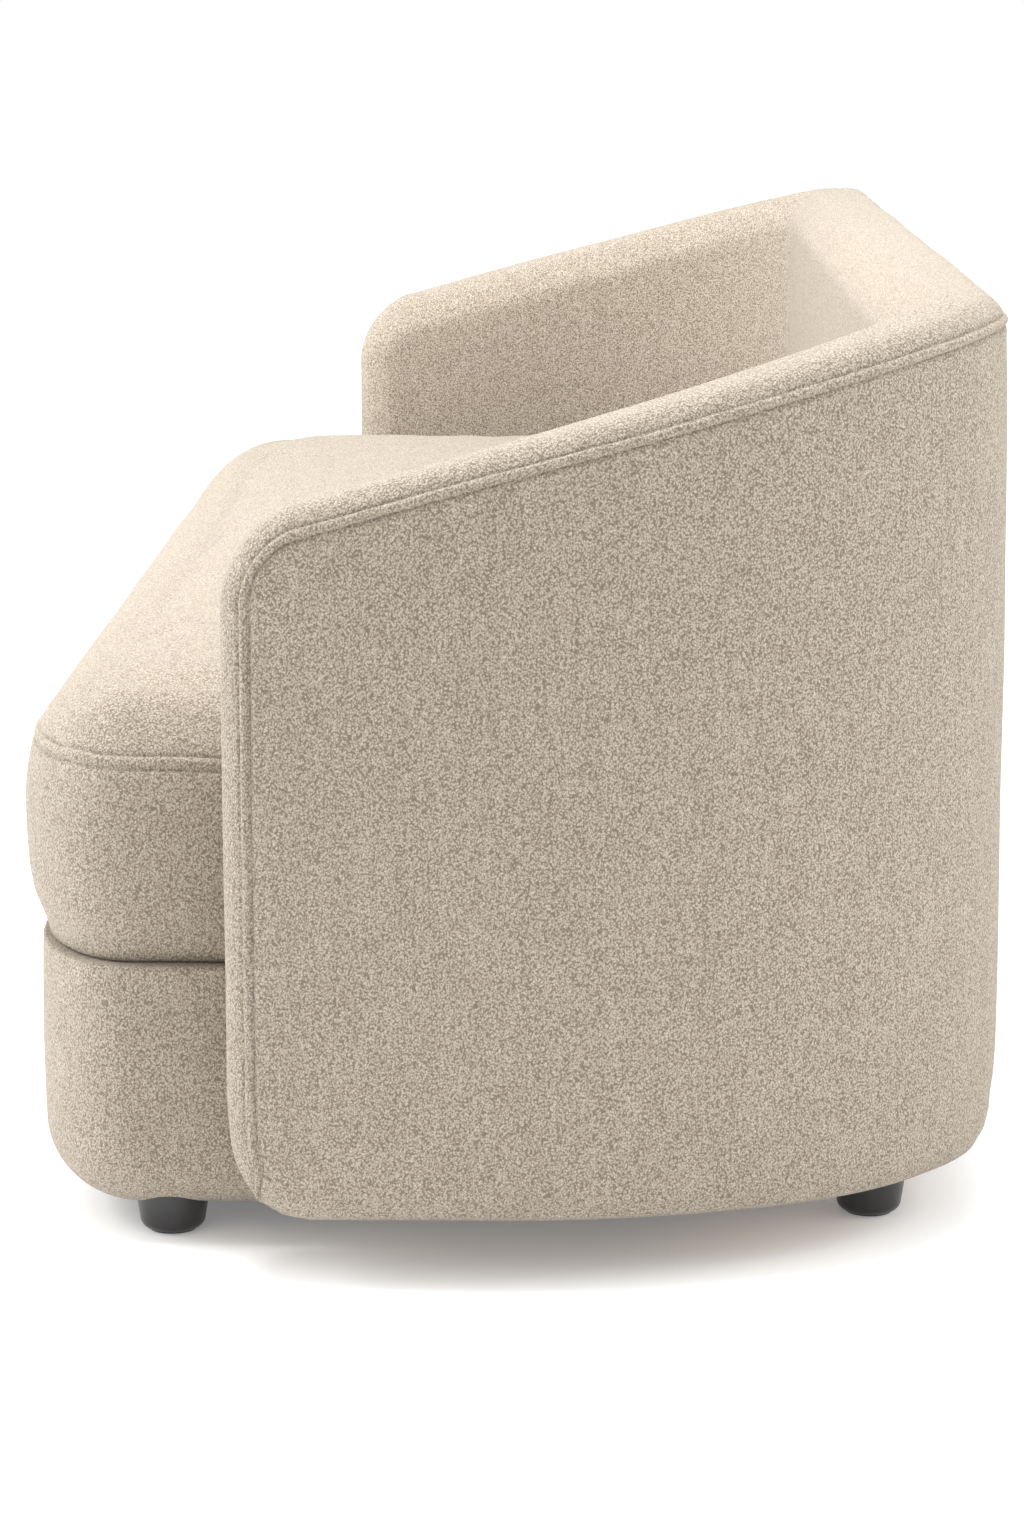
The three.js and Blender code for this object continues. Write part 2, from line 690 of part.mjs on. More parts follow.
// The plinth's face at an offset inwards, as points from the top flange down to the bottom flange.
function plinthFace(offset, flange) {
  const top = PLINTH_TOP - offset;
  const bottom = PLINTH_BOTTOM + offset;
  const rt = Math.max(1, PLINTH_TOP_RADIUS - offset);
  const rb = PLINTH_BOTTOM_RADIUS - offset;
  return [
    [flange, top],
    ...roundCorner([offset + rt, top - rt], [rt, rt], Math.PI, 3).reverse(),
    ...roundCorner([offset + rb, bottom + rb], [rb, rb], -Math.PI / 2, 5).reverse(),
    [PLINTH_BOTTOM_RADIUS + 1, bottom],
  ];
}
const plinthBand = loftAlong(plinthStations(), () => [
  ...plinthFace(0, PLINTH_FLANGE),
  ...plinthFace(COVER, PLINTH_FLANGE).reverse(),
]);
const padBottom = RAIL_BOTTOM - 2;
const padChamfer = 3.2; // off its inner lower edge, clear of the front rail
const plinthFoam = loftAlong(plinthStations(), () => [
  [PAD + 5, DECK_PAD_TOP],
  [PAD, DECK_PAD_TOP - 7],
  ...roundCorner(
    [PLINTH_BOTTOM_RADIUS, PLINTH_BOTTOM + PLINTH_BOTTOM_RADIUS],
    [PLINTH_BOTTOM_RADIUS - PAD, PLINTH_BOTTOM_RADIUS - PAD],
    -Math.PI / 2,
    5,
  ).reverse(),
  [PLINTH_BOTTOM_RADIUS, padBottom],
  [PAD + PLINTH_PADDING + padChamfer, padBottom],
  [PAD + PLINTH_PADDING, padBottom + 2 * padChamfer],
  [PAD + PLINTH_PADDING, DECK_PAD_TOP],
]);
// The front feet are pressed up into the soft underside, so it is cut round them.
const footHoles = [frontFootX, -frontFootX].map((x) =>
  post(x, frontFootY, FOOT_TOP_RADIUS + 1, 0, RAIL_BOTTOM),
);
add("plinth_cover", cut(plinthBand, ...footHoles), BOUCLE);
add("plinth_padding", cut(plinthFoam, ...footHoles), FOAM);

const clothHoles = [frontFootX, -frontFootX].map((x) =>
  boltHole(x, frontFootY, 0, RAIL_BOTTOM + 1),
);
add(
  "dust_cover",
  cut(slab(plinthPlan(PAD + PLINTH_PADDING + 5), RAIL_BOTTOM - 1.5, RAIL_BOTTOM - 0.5), ...clothHoles),
  BLACK_CLOTH,
);

// ---- Seat cushion ----
// Inset of the cushion's side at each height, as shares of its edges' softness.
const CUSHION_SIDE = [
  [SEAT_BOTTOM, 20],
  [SEAT_BOTTOM + 5, 8],
  [SEAT_BOTTOM + 18, 1.5],
  [SEAT_BOTTOM + 60, 0],
  [SEAT_SEAM_Z - 30, 0],
  [SEAT_SEAM_Z, 5],
  [SEAT_SEAM_Z + 20, 18],
  [SEAT_SEAM_Z + 32, 32],
  [SEAT_TOP, 45],
];
function cushionBody(inset) {
  const middle = (SEAT_BOTTOM + SEAT_TOP) / 2;
  return loft(
    CUSHION_SIDE.map(([z, side]) => {
      const shrunk = z < middle ? Math.max(z, SEAT_BOTTOM + inset) : Math.min(z, SEAT_TOP - inset);
      const lift = side >= 20 ? 0 : (z < middle ? 1 : -1) * inset * 0.3;
      const outline = seatOutline(SHELL_THICKNESS + SEAT_GAP, 0, side + inset);
      const level = side === 20 || z === SEAT_TOP ? shrunk : z + lift;
      return { flat: outline, points: outline.map(([x, y]) => [x, y, level]) };
    }),
  );
}
const cushionBackY = BACK_Y - SHELL_THICKNESS - SEAT_GAP;
const zipSlot = box(
  -ZIP_LENGTH / 2,
  ZIP_LENGTH / 2,
  cushionBackY - COVER - 1,
  cushionBackY + 1,
  ZIP_Z - ZIP_WIDTH / 2,
  ZIP_Z + ZIP_WIDTH / 2,
);
add("cushion_cover", cut(cushionBody(0), cushionBody(COVER), zipSlot), BOUCLE);
add("cushion_foam", cushionBody(COVER + 3), FOAM);
add(
  "cushion_zip",
  box(
    -ZIP_LENGTH / 2 + FIT,
    ZIP_LENGTH / 2 - FIT,
    cushionBackY - COVER,
    cushionBackY - COVER + ZIP_TAPE_THICKNESS,
    ZIP_Z - ZIP_WIDTH / 2 + FIT,
    ZIP_Z + ZIP_WIDTH / 2 - FIT,
  ),
  ZIP_PLASTIC,
);
const sliderEndX = ZIP_LENGTH / 2 - SLIDER_SIZE[0] / 2 - 3;
const sliderY = cushionBackY - COVER + ZIP_TAPE_THICKNESS + FIT;
const sliderBody = box(
  sliderEndX - SLIDER_SIZE[0] / 2,
  sliderEndX + SLIDER_SIZE[0] / 2,
  sliderY,
  sliderY + SLIDER_SIZE[1],
  ZIP_Z - SLIDER_SIZE[2] / 2,
  ZIP_Z + SLIDER_SIZE[2] / 2,
);
// The pull tab hangs behind the slider, flat against the cover.
const pullTab = box(
  sliderEndX - 2.5,
  sliderEndX + 2.5,
  sliderY + SLIDER_SIZE[1] - 1.2,
  sliderY + SLIDER_SIZE[1],
  ZIP_Z - 26,
  ZIP_Z,
);
add("zip_slider", join(sliderBody, pullTab), STEEL);

export default sofa;
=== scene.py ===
# %% [markdown]
# # An upholstered sofa in looped fabric
#
# The sofa is a bent shell, two sloping arms and a level back in one piece, with a plinth between the
# arms, one long loose seat cushion and four low black feet. The frame, feet, rails and zip come from
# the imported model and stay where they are. This notebook sews the covers over them.
# Everything is in metres, +X runs along the seat, -Y is the front and +Z is up.

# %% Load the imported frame
import json
import math

import bpy
import numpy as np
from mathutils import Matrix, Vector, noise
from mathutils.kdtree import KDTree


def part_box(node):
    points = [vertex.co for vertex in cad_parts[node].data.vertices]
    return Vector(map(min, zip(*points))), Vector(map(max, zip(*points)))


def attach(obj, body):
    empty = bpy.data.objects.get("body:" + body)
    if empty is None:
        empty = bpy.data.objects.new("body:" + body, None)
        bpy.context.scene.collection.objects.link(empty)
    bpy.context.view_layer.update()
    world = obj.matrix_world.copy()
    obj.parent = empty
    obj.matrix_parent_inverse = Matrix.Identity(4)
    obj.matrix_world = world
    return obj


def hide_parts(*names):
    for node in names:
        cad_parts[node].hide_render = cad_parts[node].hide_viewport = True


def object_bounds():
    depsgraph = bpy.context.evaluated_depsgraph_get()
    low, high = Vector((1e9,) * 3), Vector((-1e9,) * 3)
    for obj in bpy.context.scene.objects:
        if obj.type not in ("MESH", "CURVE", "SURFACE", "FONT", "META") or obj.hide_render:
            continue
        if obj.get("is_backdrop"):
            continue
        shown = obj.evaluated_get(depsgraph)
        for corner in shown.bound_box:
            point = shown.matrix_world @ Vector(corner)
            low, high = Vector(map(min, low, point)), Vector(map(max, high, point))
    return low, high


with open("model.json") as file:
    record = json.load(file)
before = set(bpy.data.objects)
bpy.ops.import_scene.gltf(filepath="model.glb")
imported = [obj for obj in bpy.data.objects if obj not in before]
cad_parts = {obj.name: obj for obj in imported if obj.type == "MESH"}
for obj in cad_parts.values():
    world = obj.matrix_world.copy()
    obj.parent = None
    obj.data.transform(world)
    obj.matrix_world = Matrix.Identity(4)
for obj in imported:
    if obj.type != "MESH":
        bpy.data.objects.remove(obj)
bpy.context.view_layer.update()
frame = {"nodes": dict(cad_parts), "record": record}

# %% [markdown]
# ## Sizes
#
# The covers follow the frame, so their overall sizes are read from it. What the frame can't say,
# such as how round an edge is once it is padded, is a named value here.

# %% Sizes read from the frame, and sizes of the upholstery
MM = 0.001
shell_low, shell_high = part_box("outside_cover")
plinth_low, plinth_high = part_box("plinth_cover")
seat_low, seat_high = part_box("cushion_cover")
wrap_low, wrap_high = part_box("inside_cover")

HALF_LENGTH = shell_high.x
BACK_Y = shell_high.y
FRONT_Y = seat_low.y
ARM_FRONT_Y = wrap_low.y
SHELL_BOTTOM = shell_low.z
CREST_HEIGHT = wrap_high.z
SEAT_BOTTOM = seat_low.z

SHELL_THICKNESS = 90 * MM
CREST_SLOPE = 0.28
CORNER_X, CORNER_Y = 250 * MM, 400 * MM
ARM_RADIUS = 59 * MM
SEAM_SETBACK = 22 * MM
DECK_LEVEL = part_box("deck_pad")[0].z
COVER_THICKNESS = 2.5 * MM
print(f"shell {2 * HALF_LENGTH:.3f} long, back at {BACK_Y:.4f}, crest {CREST_HEIGHT:.3f}")

# %% [markdown]
# ## Camera, floor and light
#
# A sofa is often shown from its end, from a little above the arm, with a long lens that keeps the
# arm from looking bigger than the back. A large soft light in front and above gives the pale seat, and
# the end nearest the camera is left in soft shade.

# %% Camera
CAMERA_AT = Vector((3.913, FRONT_Y + 0.448, 0.980))
CAMERA_PITCH = math.radians(11.22)
CAMERA_YAW = math.radians(-1.03)
LENS_TO_HEIGHT = 4030 / 1536

camera = bpy.data.objects.new("camera", bpy.data.cameras.new("camera"))
bpy.context.scene.collection.objects.link(camera)
camera.location = CAMERA_AT
looking = Vector(
    (
        -math.cos(CAMERA_PITCH) * math.cos(CAMERA_YAW),
        math.cos(CAMERA_PITCH) * math.sin(CAMERA_YAW),
        -math.sin(CAMERA_PITCH),
    )
)
camera.rotation_euler = looking.to_track_quat("-Z", "Y").to_euler()
camera.data.sensor_fit = "VERTICAL"
camera.data.sensor_height = 36
camera.data.sensor_width = 36
camera.data.lens = 36 * LENS_TO_HEIGHT
camera.data.clip_end = 60
bpy.context.scene.camera = camera
print("lens", round(camera.data.lens, 1), "mm")


# %% Light and surroundings
def soft_light(name, place, target, size, watts, colour):
    """A square area light at a place, turned to face a target."""
    data = bpy.data.lights.new(name, "AREA")
    data.size = size
    data.energy = watts
    data.color = colour
    lamp = bpy.data.objects.new(name, data)
    lamp.location = place
    lamp.rotation_euler = (Vector(target) - Vector(place)).to_track_quat("-Z", "Y").to_euler()
    bpy.context.scene.collection.objects.link(lamp)
    return lamp


soft_light("overhead", (-0.4, -0.5, 3.4), (0, 0, 0.3), 3.2, 62, (0.97, 0.985, 1))
soft_light("over_near_arm", (0.75, -0.3, 2.4), (-0.9, 0.1, 0.5), 0.9, 40, (0.98, 0.99, 1))
soft_light("window_front", (-0.3, -3.8, 2.2), (0, 0, 0.4), 2.6, 150, (0.98, 0.99, 1))
soft_light("behind", (0.6, 3.6, 2.4), (0, 0.2, 0.5), 2.4, 84, (0.98, 0.99, 1))
print("lights", len(bpy.data.lights))

world = bpy.data.worlds.new("studio")
bpy.context.scene.world = world
world.use_nodes = True
world.node_tree.nodes["Background"].inputs["Color"].default_value = (1, 1, 1, 1)
world.node_tree.nodes["Background"].inputs["Strength"].default_value = 1.0

# Colours are shown as they are, so that a white room stays white and the cover keeps its own tone.
bpy.context.scene.view_settings.view_transform = "Standard"

# %% Floor
FLOOR_HALF = 14.0
FLOOR_GLOW = 0.16  # a lit studio sweep is as bright as the wall behind it
floor_mesh = bpy.data.meshes.new("floor")
floor_mesh.from_pydata(
    [(x, y, 0) for x, y in ((-1, -1), (1, -1), (1, 1), (-1, 1))], [], [(0, 1, 2, 3)]
)
floor_mesh.transform(Matrix.Scale(FLOOR_HALF, 4))
floor = bpy.data.objects.new("floor", floor_mesh)
bpy.context.scene.collection.objects.link(floor)
floor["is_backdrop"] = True
print("floor", 2 * FLOOR_HALF, "m square")

# %% [markdown]
# ## Shader maths in plain expressions
#
# A material is a small sum: how high the yarn stands here, how dark the gap is there. Writing that as
# Math nodes by hand hides the sum, so this class wraps a socket and lets Python's own operators add the
# nodes. Colours go through Mix and Vector Math, because a Math node would turn them grey.


# %% The shader sheet
class Wire:
    """A socket that can be used in a sum."""

    def __init__(self, sheet, socket):
        self.sheet, self.socket = sheet, socket

    def _math(self, operation, *values):
        return self.sheet.node("ShaderNodeMath", {"operation": operation}, *values)

    def __add__(self, other):
        return self._math("ADD", self, other)

    def __sub__(self, other):
        return self._math("SUBTRACT", self, other)

    def __rsub__(self, other):
        return self._math("SUBTRACT", other, self)

    def __mul__(self, other):
        return self._math("MULTIPLY", self, other)

    __radd__, __rmul__ = __add__, __mul__

    def clamp(self):
        return self.sheet.node("ShaderNodeClamp", {}, self)

    def between(self, low, high):
        """0 at low, 1 at high, smooth in between."""
        return self.sheet.node(
            "ShaderNodeMapRange",
            {"interpolation_type": "SMOOTHSTEP"},
            **{"Value": self, "From Min": low, "From Max": high},
        )


class Sheet:
    """A material's node tree, with a Principled shader ready to take sockets."""

    def __init__(self, name, roughness=0.8, metallic=0.0):
        self.material = bpy.data.materials.new(name)
        self.material.use_nodes = True
        self.nodes, self.links = self.material.node_tree.nodes, self.material.node_tree.links
        self.shader = self.nodes["Principled BSDF"]
        self.shader.inputs["Roughness"].default_value = roughness
        self.shader.inputs["Metallic"].default_value = metallic

    def node(self, kind, settings, *values, output=0, **named):
        """Any node: its type, its settings, then values or wires for its sockets, by order or name."""
        made = self.nodes.new(kind)
        for key, value in settings.items():
            if key == "stops":
                self.set_stops(made.color_ramp, value)
            else:
                setattr(made, key, value)
        for key, value in [*enumerate(values), *named.items()]:
            self.feed(made.inputs[key], value)
        return Wire(self, made.outputs[output])

    def feed(self, socket, value):
        if isinstance(value, Wire):
            self.links.new(value.socket, socket)
        else:
            socket.default_value = value

    @staticmethod
    def set_stops(ramp, stops):
        while len(ramp.elements) < len(stops):
            ramp.elements.new(0.5)
        for element, (position, colour) in zip(ramp.elements, stops):
            element.position = position
            element.color = (*colour, 1)

    def place(self, stretch=(1, 1, 1)):
        """The point on the piece, in metres, stretched along the axes."""
        point = self.node("ShaderNodeTexCoord", {}, output="Object")
        return self.node("ShaderNodeVectorMath", {"operation": "MULTIPLY"}, point, stretch)

    def noise(self, point, scale, detail=2.0, roughness=0.5):
        return self.node(
            "ShaderNodeTexNoise",
            {},
            output="Fac",
            **{"Vector": point, "Scale": scale, "Detail": detail, "Roughness": roughness},
        )

    def ramp(self, value, *stops):
        return self.node("ShaderNodeValToRGB", {"stops": stops}, value)

    def mix(self, share, first, second):
        """A colour between two colours."""
        made = self.nodes.new("ShaderNodeMix")
        made.data_type = "RGBA"
        for socket, value in ((0, share), (6, first), (7, second)):
            if not isinstance(value, Wire) and socket != 0:
                value = (*value, 1)
            self.feed(made.inputs[socket], value)
        return Wire(self, made.outputs[2])

    def bump(self, height, distance, strength=1.0):
        normal = self.node(
            "ShaderNodeBump", {}, **{"Height": height, "Distance": distance, "Strength": strength}
        )
        self.feed(self.shader.inputs["Normal"], normal)

    def colour(self, value):
        self.feed(self.shader.inputs["Base Color"], value)

    def set(self, **uniform):
        """Values that are the same all over the surface, set on the shader itself."""
        for key, value in uniform.items():
            self.shader.inputs[key.replace("_", " ")].default_value = value


# %% Floor material
studio = Sheet("studio_floor", roughness=0.6)
mottle = studio.noise(studio.place(), 2.2, 3.0)
studio.colour(studio.mix(mottle, (0.90, 0.90, 0.90), (0.93, 0.93, 0.93)))
studio.set(Specular_IOR_Level=0.1, Emission_Color=(1, 1, 1, 1), Emission_Strength=FLOOR_GLOW)
floor.data.materials.append(studio.material)
print("floor nodes", len(studio.nodes))

# %% [markdown]
# ## The looped fabric
#
# The cover is a boucle: a cream yarn and a taupe yarn twisted together and thrown up in little loops
# less than two millimetres across. A loop could be modelled one by one, but a sofa has a few million of
# them. Here the loops are rounded cells with a curled contour pattern over them, which gives both the
# height for the bump and the colour: the crown of a loop is cream, and the gaps are taupe and darker.
# The darker gaps are partly the taupe yarn and partly painted shadow between the loops.

# %% Boucle
LOOP = 1.5 * MM


def boucle(name):
    s = Sheet(name, roughness=0.93)
    point = s.place((1, 1, 0.86))
    wander = s.node(
        "ShaderNodeTexNoise",
        {},
        output="Color",
        **{"Vector": point, "Scale": 1 / (3.4 * LOOP), "Detail": 1.0},
    )
    centred = s.node("ShaderNodeVectorMath", {"operation": "SUBTRACT"}, wander, (0.5, 0.5, 0.5))
    moved = s.node("ShaderNodeVectorMath", {"operation": "MULTIPLY"}, centred, (2.2 * LOOP,) * 3)
    curled = s.node("ShaderNodeVectorMath", {"operation": "ADD"}, point, moved)
    cells = s.node(
        "ShaderNodeTexVoronoi",
        {"feature": "SMOOTH_F1"},
        output="Distance",
        **{"Vector": curled, "Scale": 1 / LOOP, "Smoothness": 0.3},
    )
    nub = (1.0 - cells * 1.25).clamp()
    swirl = s.noise(curled, 1 / (1.1 * LOOP), 1.0)
    strands = s.node("ShaderNodeMath", {"operation": "SINE"}, swirl * 26.0) * 0.5 + 0.5
    fibre = s.noise(curled, 1 / (0.3 * LOOP), 2.0, 0.6)
    height = nub * 0.68 + strands * 0.16 + fibre * 0.16
    patch = s.noise(point, 1 / (16 * LOOP), 2.0)
    streak = s.noise(s.place((1, 1, 0.04)), 1 / (1.6 * LOOP), 3.0, 0.65)
    slub = s.noise(s.place((1, 1, 0.3)), 1 / (1.3 * LOOP), 2.0, 0.6)
    # The colour follows the loop height. The low gaps are painted darker as shadow between the loops, on
    # top of the real cream and taupe yarns and their random patches, streaks and slubs.
    yarn_tone_and_gap_shadow = height + (patch - 0.5) * 0.06 + (streak - 0.5) * 0.24 + (slub - 0.5) * 0.10
    s.colour(
        s.ramp(
            yarn_tone_and_gap_shadow,
            (0.22, (0.205, 0.168, 0.125)),
            (0.40, (0.345, 0.291, 0.228)),
            (0.58, (0.455, 0.397, 0.324)),
            (0.80, (0.620, 0.562, 0.482)),
        )
    )
    s.bump(height, 1.1 * MM, 0.9)
    s.set(Sheen_Weight=0.18, Sheen_Roughness=0.55, Specular_IOR_Level=0.1)
    s.shader.inputs["Sheen Tint"].default_value = (1.0, 0.96, 0.9, 1)
    return s.material


BOUCLE = boucle("looped_oat_fabric")
print("boucle nodes", len(BOUCLE.node_tree.nodes))

# %% [markdown]
# ## Turning rows of points into cloth
#
# Every cover here is a net of points: rows one way, columns the other. A net can be shaped with plain
# arithmetic before it becomes a mesh, and its rows can be put exactly where a seam runs, which a
# remeshed or sculpted surface can't promise.


# %% Nets of points
def net_faces(rows, columns, closed=False):
    """Quads of a net whose points are numbered row by row; closed joins the last column to the first."""
    last = columns if closed else columns - 1
    r, c = np.meshgrid(np.arange(rows - 1), np.arange(last), indexing="ij")
    right = (c + 1) % columns
    here, above = r * columns, (r + 1) * columns
    return np.stack([here + c, here + right, above + right, above + c], -1).reshape(-1, 4)


def mesh_piece(name, points, faces, material, body, slot, smooth=True):
    """A mesh object from points and faces, riding on a body. A point named twice in one face is kept once
    there.
    """
    mesh = bpy.data.meshes.new(name)
    mesh.from_pydata([tuple(p) for p in points], [], [list(dict.fromkeys(map(int, f))) for f in faces])
    mesh.polygons.foreach_set("use_smooth", [smooth] * len(mesh.polygons))
    piece = bpy.data.objects.new(name, mesh)
    bpy.context.scene.collection.objects.link(piece)
    mesh.materials.append(material)
    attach(piece, body)
    return piece


def normals_of(points, faces):
    """Smooth outward normals at the points of a quad mesh."""
    p = points[faces]
    flat = np.cross(p[:, 2] - p[:, 0], p[:, 3] - p[:, 1])
    total = np.zeros_like(points)
    for corner in range(faces.shape[1]):
        np.add.at(total, faces[:, corner], flat)
    return total / np.maximum(np.linalg.norm(total, axis=1, keepdims=True), 1e-12)


def smooth_step(value, low, high):
    t = np.clip((value - low) / (high - low), 0, 1)
    return t * t * (3 - 2 * t)


def softness(points, size, height):
    """Gentle unevenness of stuffed cloth: a slow noise of a given size, up to a given height."""
    return height * np.array([noise.noise(Vector(p / size)) for p in points])


def give_thickness(piece, thickness=COVER_THICKNESS):
    """Turns a net into a closed sheet of cloth, thickened inwards."""
    sheet = piece.modifiers.new("cloth_thickness", "SOLIDIFY")
    sheet.thickness = thickness
    sheet.offset = -1


# %% [markdown]
# ## The plan of the shell
#
# Seen from above, the shell's outline runs straight back from the front of an arm, round a quarter of
# an ellipse, along the back and round again. Measuring along that line gives every point of the shell a
# place "along" and, square to it, a depth into the padding.


# %% Plan, crest and outline
LEAD = 20 * MM  # the line is carried on ahead of the arm, so that padding can stand proud of it
SIDE_POINTS, CORNER_POINTS = 60, 400


def outline_table():
    """Points of the outline with the direction inwards, and how far along each one is."""
    side_end = BACK_Y - CORNER_Y
    y = np.linspace(ARM_FRONT_Y - LEAD, side_end, SIDE_POINTS, endpoint=False)
    level = np.ones(SIDE_POINTS)
    turn = np.linspace(0, math.pi / 2, CORNER_POINTS)
    corner_x = HALF_LENGTH - CORNER_X + CORNER_X * np.cos(turn)
    corner_y = side_end + CORNER_Y * np.sin(turn)
    normal = np.stack([-np.cos(turn) / CORNER_X, -np.sin(turn) / CORNER_Y], -1)
    normal /= np.linalg.norm(normal, axis=1, keepdims=True)
    half = np.concatenate(
        [
            np.stack([HALF_LENGTH * level, y, -level, 0 * level], -1),
            np.concatenate([np.stack([corner_x, corner_y], -1), normal], -1),
            [[0.0, BACK_Y, 0.0, -1.0]],
        ]
    )
    other = half[-2::-1] * (-1, 1, -1, 1)
    table = np.concatenate([half, other])
    steps = np.linalg.norm(np.diff(table[:, :2], axis=0), axis=1)
    return table, np.concatenate([[0], np.cumsum(steps)]) - LEAD


OUTLINE, ALONG = outline_table()
TOTAL = ALONG[-1] - LEAD


def plan(along):
    """x, y and the direction inwards, at distances along the outline."""
    return np.stack([np.interp(along, ALONG, OUTLINE[:, i]) for i in range(4)], -1)


def crest(along):
    """Height of the shell's top edge."""
    _, y, _, ny = plan(along).T
    behind = BACK_Y - SHELL_THICKNESS / 2 - (y + ny * SHELL_THICKNESS / 2)
    return CREST_HEIGHT - CREST_SLOPE * behind


print(f"outline {TOTAL:.3f} m long, arm front {crest(np.array([0.0]))[0]:.3f} high")

# %% [markdown]
# ## The frame of the shell, from face to face
#
# The padded edge goes all the way round the shell's side view: up the front of an arm, round its
# corner, along the top, down the other arm and back underneath. So the cover is built as a picture
# frame swept round that line, with a panel inside it on each face. The edge is nearly sharp on the
# outside and well padded on the seat side, and a row of points runs exactly along the seam.

# %% Columns of the swept edge
COLUMN_STEP = 8 * MM
ROW_STEP = 9 * MM
ARC_STEPS = 16
EDGE_STEPS = 24  # points round each corner of the edge, seen in section
along_top = np.linspace(ARM_RADIUS, TOTAL - ARM_RADIUS, int((TOTAL - 2 * ARM_RADIUS) / COLUMN_STEP))
front_rise = crest(np.array([ARM_RADIUS]))[0] - ARM_RADIUS - (SHELL_BOTTOM + ARM_RADIUS)
share_up = np.linspace(0, 1, int(front_rise / ROW_STEP))
quarter = np.linspace(0, math.pi / 2, ARC_STEPS + 2)[1:-1]

# Each column is a kind of edge and a measure: a place along the outline, a share of the front's height,
# or, on an arc, the angle turned away from the front of the arm.
columns = (
    [("top", "near", a) for a in along_top]
    + [("top_arc", "far", math.pi / 2 - q) for q in quarter]
    + [("front", "far", s) for s in share_up[::-1]]
    + [("bottom_arc", "far", q) for q in quarter]
    + [("bottom", "near", a) for a in along_top[::-1]]
    + [("bottom_arc", "near", math.pi / 2 - q) for q in quarter]
    + [("front", "near", s) for s in share_up]
    + [("top_arc", "near", q) for q in quarter]
)
print("edge columns", len(columns))

# Roundness of the two edges: depth and height of the outside corner, then of the seat-side corner.
EDGE_ROUND = {
    "top": np.array([22, 24, 42, 46]) * MM,
    "front": np.array([34, 38, 40, 42]) * MM,
    "bottom": np.array([20, 35, 14, 14]) * MM,
}
# Crown of the padding: the front's everywhere but on the arcs, which grow to the top's or the bottom's.
CROWN = {"top": 3.0 * MM, "front": 1.5 * MM, "bottom": 0.0}
CROWN_REACH = 20 * MM
UNDER_SEAM = 45 * MM  # depth at which the two covers meet underneath


def unrolled(kind, side, measure, setback):
    """Place along the outline and height of the points of one column, set back from the edge."""
    radius = ARM_RADIUS - setback
    if kind == "top":
        along = np.full_like(setback, measure)
        return along, crest(along) - setback
    if kind == "bottom":
        return np.full_like(setback, measure), SHELL_BOTTOM + setback
    if kind == "front":
        low = SHELL_BOTTOM + ARM_RADIUS
        along = setback
        height = low + (crest(along) - ARM_RADIUS - low) * measure
    else:
        along = setback + radius * (1 - math.cos(measure))
        in_from_edge = setback + radius * (1 - math.sin(measure))
        height = crest(along) - in_from_edge if kind == "top_arc" else SHELL_BOTTOM + in_from_edge
    return (TOTAL - along if side == "far" else along), height


def edge_line(kind, measure):
    """A dense line of (setback, depth) from the outside face, over the edge, to the seat face."""
    roundness, crown = EDGE_ROUND.get(kind), CROWN["front"]
    if kind.endswith("arc"):
        other = kind.replace("_arc", "")
        turned = smooth_step(measure / (math.pi / 2), 0, 1)
        roundness = EDGE_ROUND["front"] * (1 - turned) + EDGE_ROUND[other] * turned
        crown = CROWN["front"] * (1 - turned) + CROWN[other] * turned
    outer_d, outer_s, inner_d, inner_s = roundness
    turn = np.linspace(0, math.pi / 2, EDGE_STEPS)
    across = np.linspace(outer_d, SHELL_THICKNESS - inner_d, 8)[1:-1]
    outer = np.stack([outer_s * (1 - np.sin(turn)), outer_d * (1 - np.cos(turn))], -1)
    flat = np.stack([0 * across, across], -1)
    inner = np.stack(
        [inner_s * (1 - np.cos(turn)), SHELL_THICKNESS - inner_d * (1 - np.sin(turn))], -1
    )
    line = np.concatenate([[(ARM_RADIUS, 0)], outer, flat, inner, [(ARM_RADIUS, SHELL_THICKNESS)]])
    through = line[:, 1] / SHELL_THICKNESS
    near_edge = 1 - np.clip(line[:, 0] / CROWN_REACH, 0, 1)
    line[:, 0] -= crown * 4 * through * (1 - through) * near_edge
    return line


# %% [markdown]
# ## The felled seam
#
# The outside panel is joined to the wrap with a felled seam: the seam allowance is folded to the wrap's
# side and sewn down, so there is a sharp groove and, beside it, a ridge as wide as the allowance. The
# groove and the ridge are moved points, not a picture of a seam, so they catch the light from any side.

# %% Seam profile and rows
PANEL_SIDE = np.array([10, 7, 5, 3.4, 2.2, 1.3, 0.6]) * MM
WRAP_SIDE = np.array([0.5, 1.1, 1.8, 2.8, 4, 5.2, 6.4, 7.5, 8.4, 9.2, 10.2, 12]) * MM
GROOVE, RIDGE, STITCH = 1.3 * MM, 2.0 * MM, 1.0 * MM
RIDGE_FROM, RIDGE_TO = 0.9 * MM, 8.4 * MM


def seam_relief(e):
    """Height of the felled seam at a distance from it, positive towards the wrap."""
    groove = -GROOVE * np.exp(-((e / (1.5 * MM)) ** 2))
    roll = 0.5 * MM * np.exp(-(((e + 5 * MM) / (2.5 * MM)) ** 2))
    over = np.clip((e - RIDGE_FROM) / (RIDGE_TO - RIDGE_FROM), 0, 1)
    ridge = RIDGE * np.sin(math.pi * over) ** 0.7
    stitch = -STITCH * np.exp(-(((e - 9.2 * MM) / (1.0 * MM)) ** 2))
    return groove + roll + ridge + stitch


def rows_about(seam, total, rows_before, rows_after):
    """Row positions along a section, fine on both sides of the seam."""
    before = np.linspace(0, seam - PANEL_SIDE[0], rows_before + 1)[:-1]
    after = np.linspace(seam + WRAP_SIDE[-1], total, rows_after + 1)[1:]
    return np.concatenate([before, seam - PANEL_SIDE, [seam], seam + WRAP_SIDE, after])


print("seam rows", len(PANEL_SIDE) + 1 + len(WRAP_SIDE))


